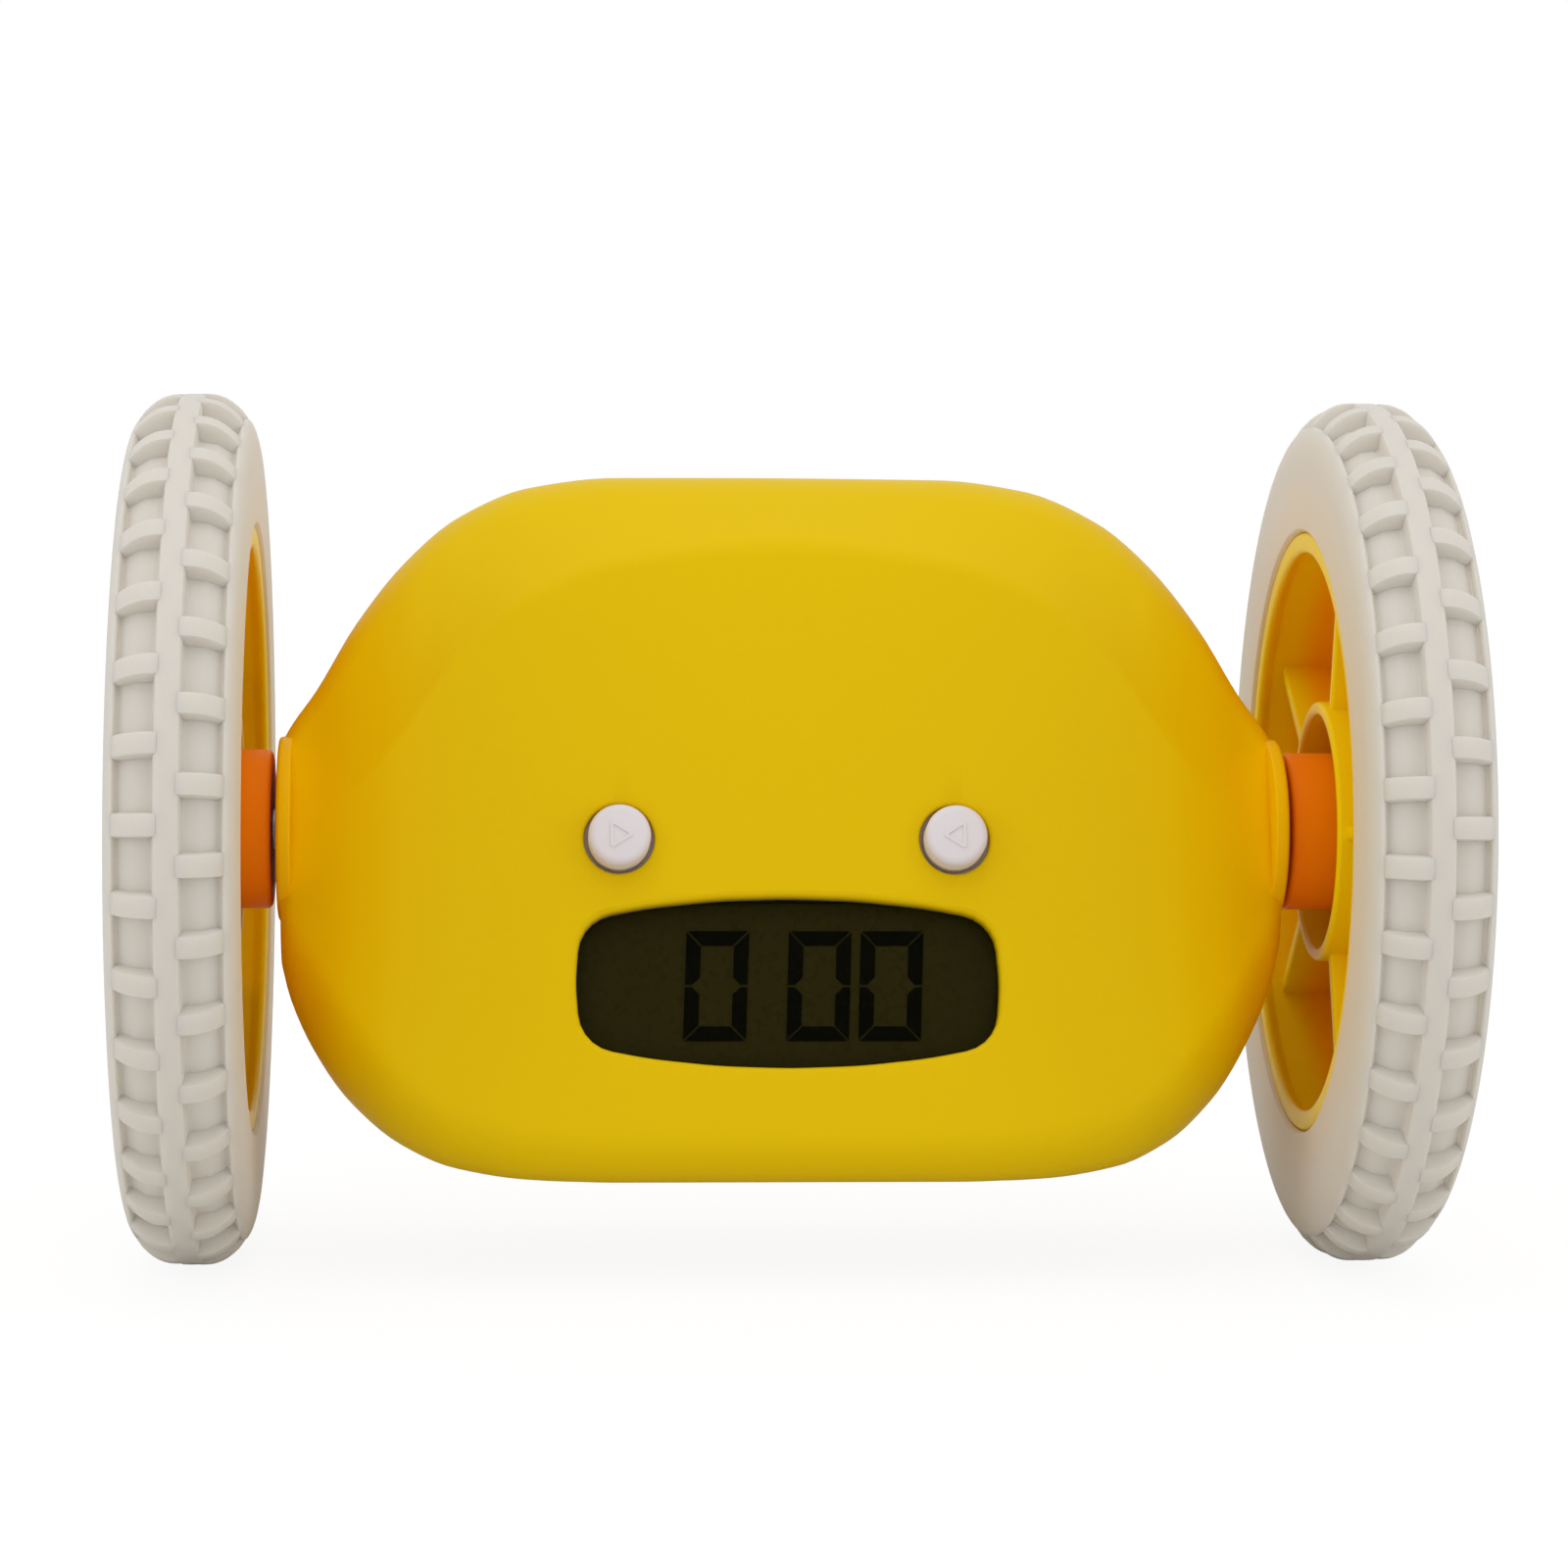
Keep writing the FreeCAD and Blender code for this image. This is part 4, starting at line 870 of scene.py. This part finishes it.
def dress_wheels():
    for name, side in SIDES.items():
        body = name + "_wheel"

        def add(piece, shape, slot, nodes, sharp=32):
            whole = shape if side > 0 else mirrored(shape)
            replaced = [name + "_" + node for node in nodes]
            finished(name + "_" + piece, whole, finishes[slot], body, replaced, sharp)

        carcass = facing_out(turned(bmesh.new(), tyre_profile(), AXLE_PLACE, 180))
        add("tyre_carcass", carcass, "tyre_white", ["tyre"], 40)
        for row, row_side, first in (("in", -1, 0.0), ("out", 1, math.pi / LUGS)):
            lugs = ringed(lug(row_side), LUGS, first, finishes["tyre_white"])
            add("tread_row_" + row, lugs, "tyre_white", [], 40)
        add("rim_bowl", rim_shape(), "rim_yellow", ["wheel_rim"])
        ribs = ringed(rib_shape(), RIBS, FIRST_RIB, finishes["rim_yellow"])
        add("rim_ribs", ribs, "rim_yellow", [])
        sleeve = turned_round([(52.2, 2.0), (52.2, 8.15), (58.1, 8.15), (58.1, 2.0)],
                              [0.05, 0.6, 0.3, 0.05], AXLE_PLACE, 80)
        add("sleeve_skin", facing_out(sleeve), "sleeve_orange", ["wheel_sleeve"])
        dome = [(63.8, 0.0), (63.8, 9.5), (64.8, 9.2), (65.6, 7.6), (65.95, 4.0), (66.0, 0.0)]
        cap = turned_round(dome, [POLE, 0.2, 0.5, 1.5, 4.0, POLE], AXLE_PLACE, 80)
        add("hub_cap_skin", facing_out(cap), "rim_yellow", ["hub_cap", "wheel_screw"])


# Room

def dress_room():
    world = bpy.data.worlds.new("room")
    bpy.context.scene.world = world
    world.use_nodes = True
    tree = world.node_tree
    tree.nodes.clear()
    seen = tree.nodes.new("ShaderNodeLightPath")
    both = tree.nodes.new("ShaderNodeMath")
    both.operation = "MAXIMUM"
    tree.links.new(seen.outputs["Is Camera Ray"], both.inputs[0])
    tree.links.new(seen.outputs["Is Transmission Ray"], both.inputs[1])
    soft = tree.nodes.new("ShaderNodeBackground")
    soft.inputs["Color"].default_value = (1, 1, 1, 1)
    soft.inputs["Strength"].default_value = 0.8
    white = tree.nodes.new("ShaderNodeBackground")
    white.inputs["Color"].default_value = (1, 1, 1, 1)
    mix = tree.nodes.new("ShaderNodeMixShader")
    tree.links.new(both.outputs[0], mix.inputs[0])
    tree.links.new(soft.outputs[0], mix.inputs[1])
    tree.links.new(white.outputs[0], mix.inputs[2])
    out = tree.nodes.new("ShaderNodeOutputWorld")
    tree.links.new(mix.outputs[0], out.inputs[0])

    floor = Finish("floor")
    matt = floor.node("ShaderNodeBsdfDiffuse", None, {"Color": (0.8, 0.8, 0.8, 1)})
    glow = floor.node("ShaderNodeEmission", None, {"Color": (1, 1, 1, 1), "Strength": 1.06})
    seen_here = floor.node("ShaderNodeLightPath", None, None, "Is Camera Ray")
    x, y = (floor.axis(floor.place(), name) for name in "XY")
    far = ((x * x + y * y) ** 0.5).ramp_from(0.10, 0.24)
    share = seen_here * (0.85 + far * 0.15)
    floor.done(floor.node("ShaderNodeMixShader", None, {0: share, 1: matt, 2: glow}))
    shape = bmesh.new()
    bmesh.ops.create_grid(shape, x_segments=1, y_segments=1, size=6.0)
    mesh = bpy.data.meshes.new("floor")
    shape.to_mesh(mesh)
    shape.free()
    mesh.materials.append(floor.material)
    ground = bpy.data.objects.new("floor", mesh)
    bpy.context.scene.collection.objects.link(ground)

    for name, place, aim, size, power in (
            ("top_light", (-0.05, -0.20, 0.75), (0, 0, 0.04), 0.6, 0.8),
            ("left_light", (-0.80, -0.40, 0.30), (0, 0, 0.05), 0.5, 0.6),
            ("right_light", (0.80, -0.40, 0.30), (0, 0, 0.05), 0.5, 0.6)):
        lamp = bpy.data.lights.new(name, "AREA")
        lamp.shape = "SQUARE"
        lamp.size = size
        lamp.energy = power
        obj = bpy.data.objects.new(name, lamp)
        obj.location = place
        obj.rotation_euler = (Vector(aim) - Vector(place)).to_track_quat("-Z", "Y").to_euler()
        bpy.context.scene.collection.objects.link(obj)


def place_camera():
    """The photograph's view: slightly from the left and above, through a long lens."""
    yaw, pitch, roll = math.radians(3.69), math.radians(4.0), math.radians(0.43)
    focal_pixels, photo_pixels = 4613, 1600
    level = math.cos(pitch)
    ahead = Vector((math.sin(yaw) * level, math.cos(yaw) * level, -math.sin(pitch)))
    camera = bpy.data.cameras.new("photo_view")
    camera.sensor_fit = "HORIZONTAL"
    camera.sensor_width = 36.0
    camera.lens = focal_pixels / photo_pixels * camera.sensor_width
    camera.clip_start = 0.01
    obj = bpy.data.objects.new("photo_view", camera)
    turn = ahead.to_track_quat("-Z", "Y").to_matrix().to_4x4() @ Matrix.Rotation(roll, 4, "Z")
    obj.matrix_world = Matrix.Translation((-0.0297, -0.4655, 0.0819)) @ turn
    bpy.context.scene.collection.objects.link(obj)
    bpy.context.scene.camera = obj


def dress_nodes():
    """Give every piece that comes straight from the frame its finish."""
    for entry in frame["record"]["subparts"]:
        mesh = frame["nodes"][entry["node"]].data
        mesh.materials.clear()
        mesh.materials.append(finishes[entry["material_slot"]])


bpy.context.scene.view_settings.view_transform = "Standard"
place_camera()
dress_room()
dress_nodes()
dress_body()
dress_display()
dress_buttons()
dress_wheels()
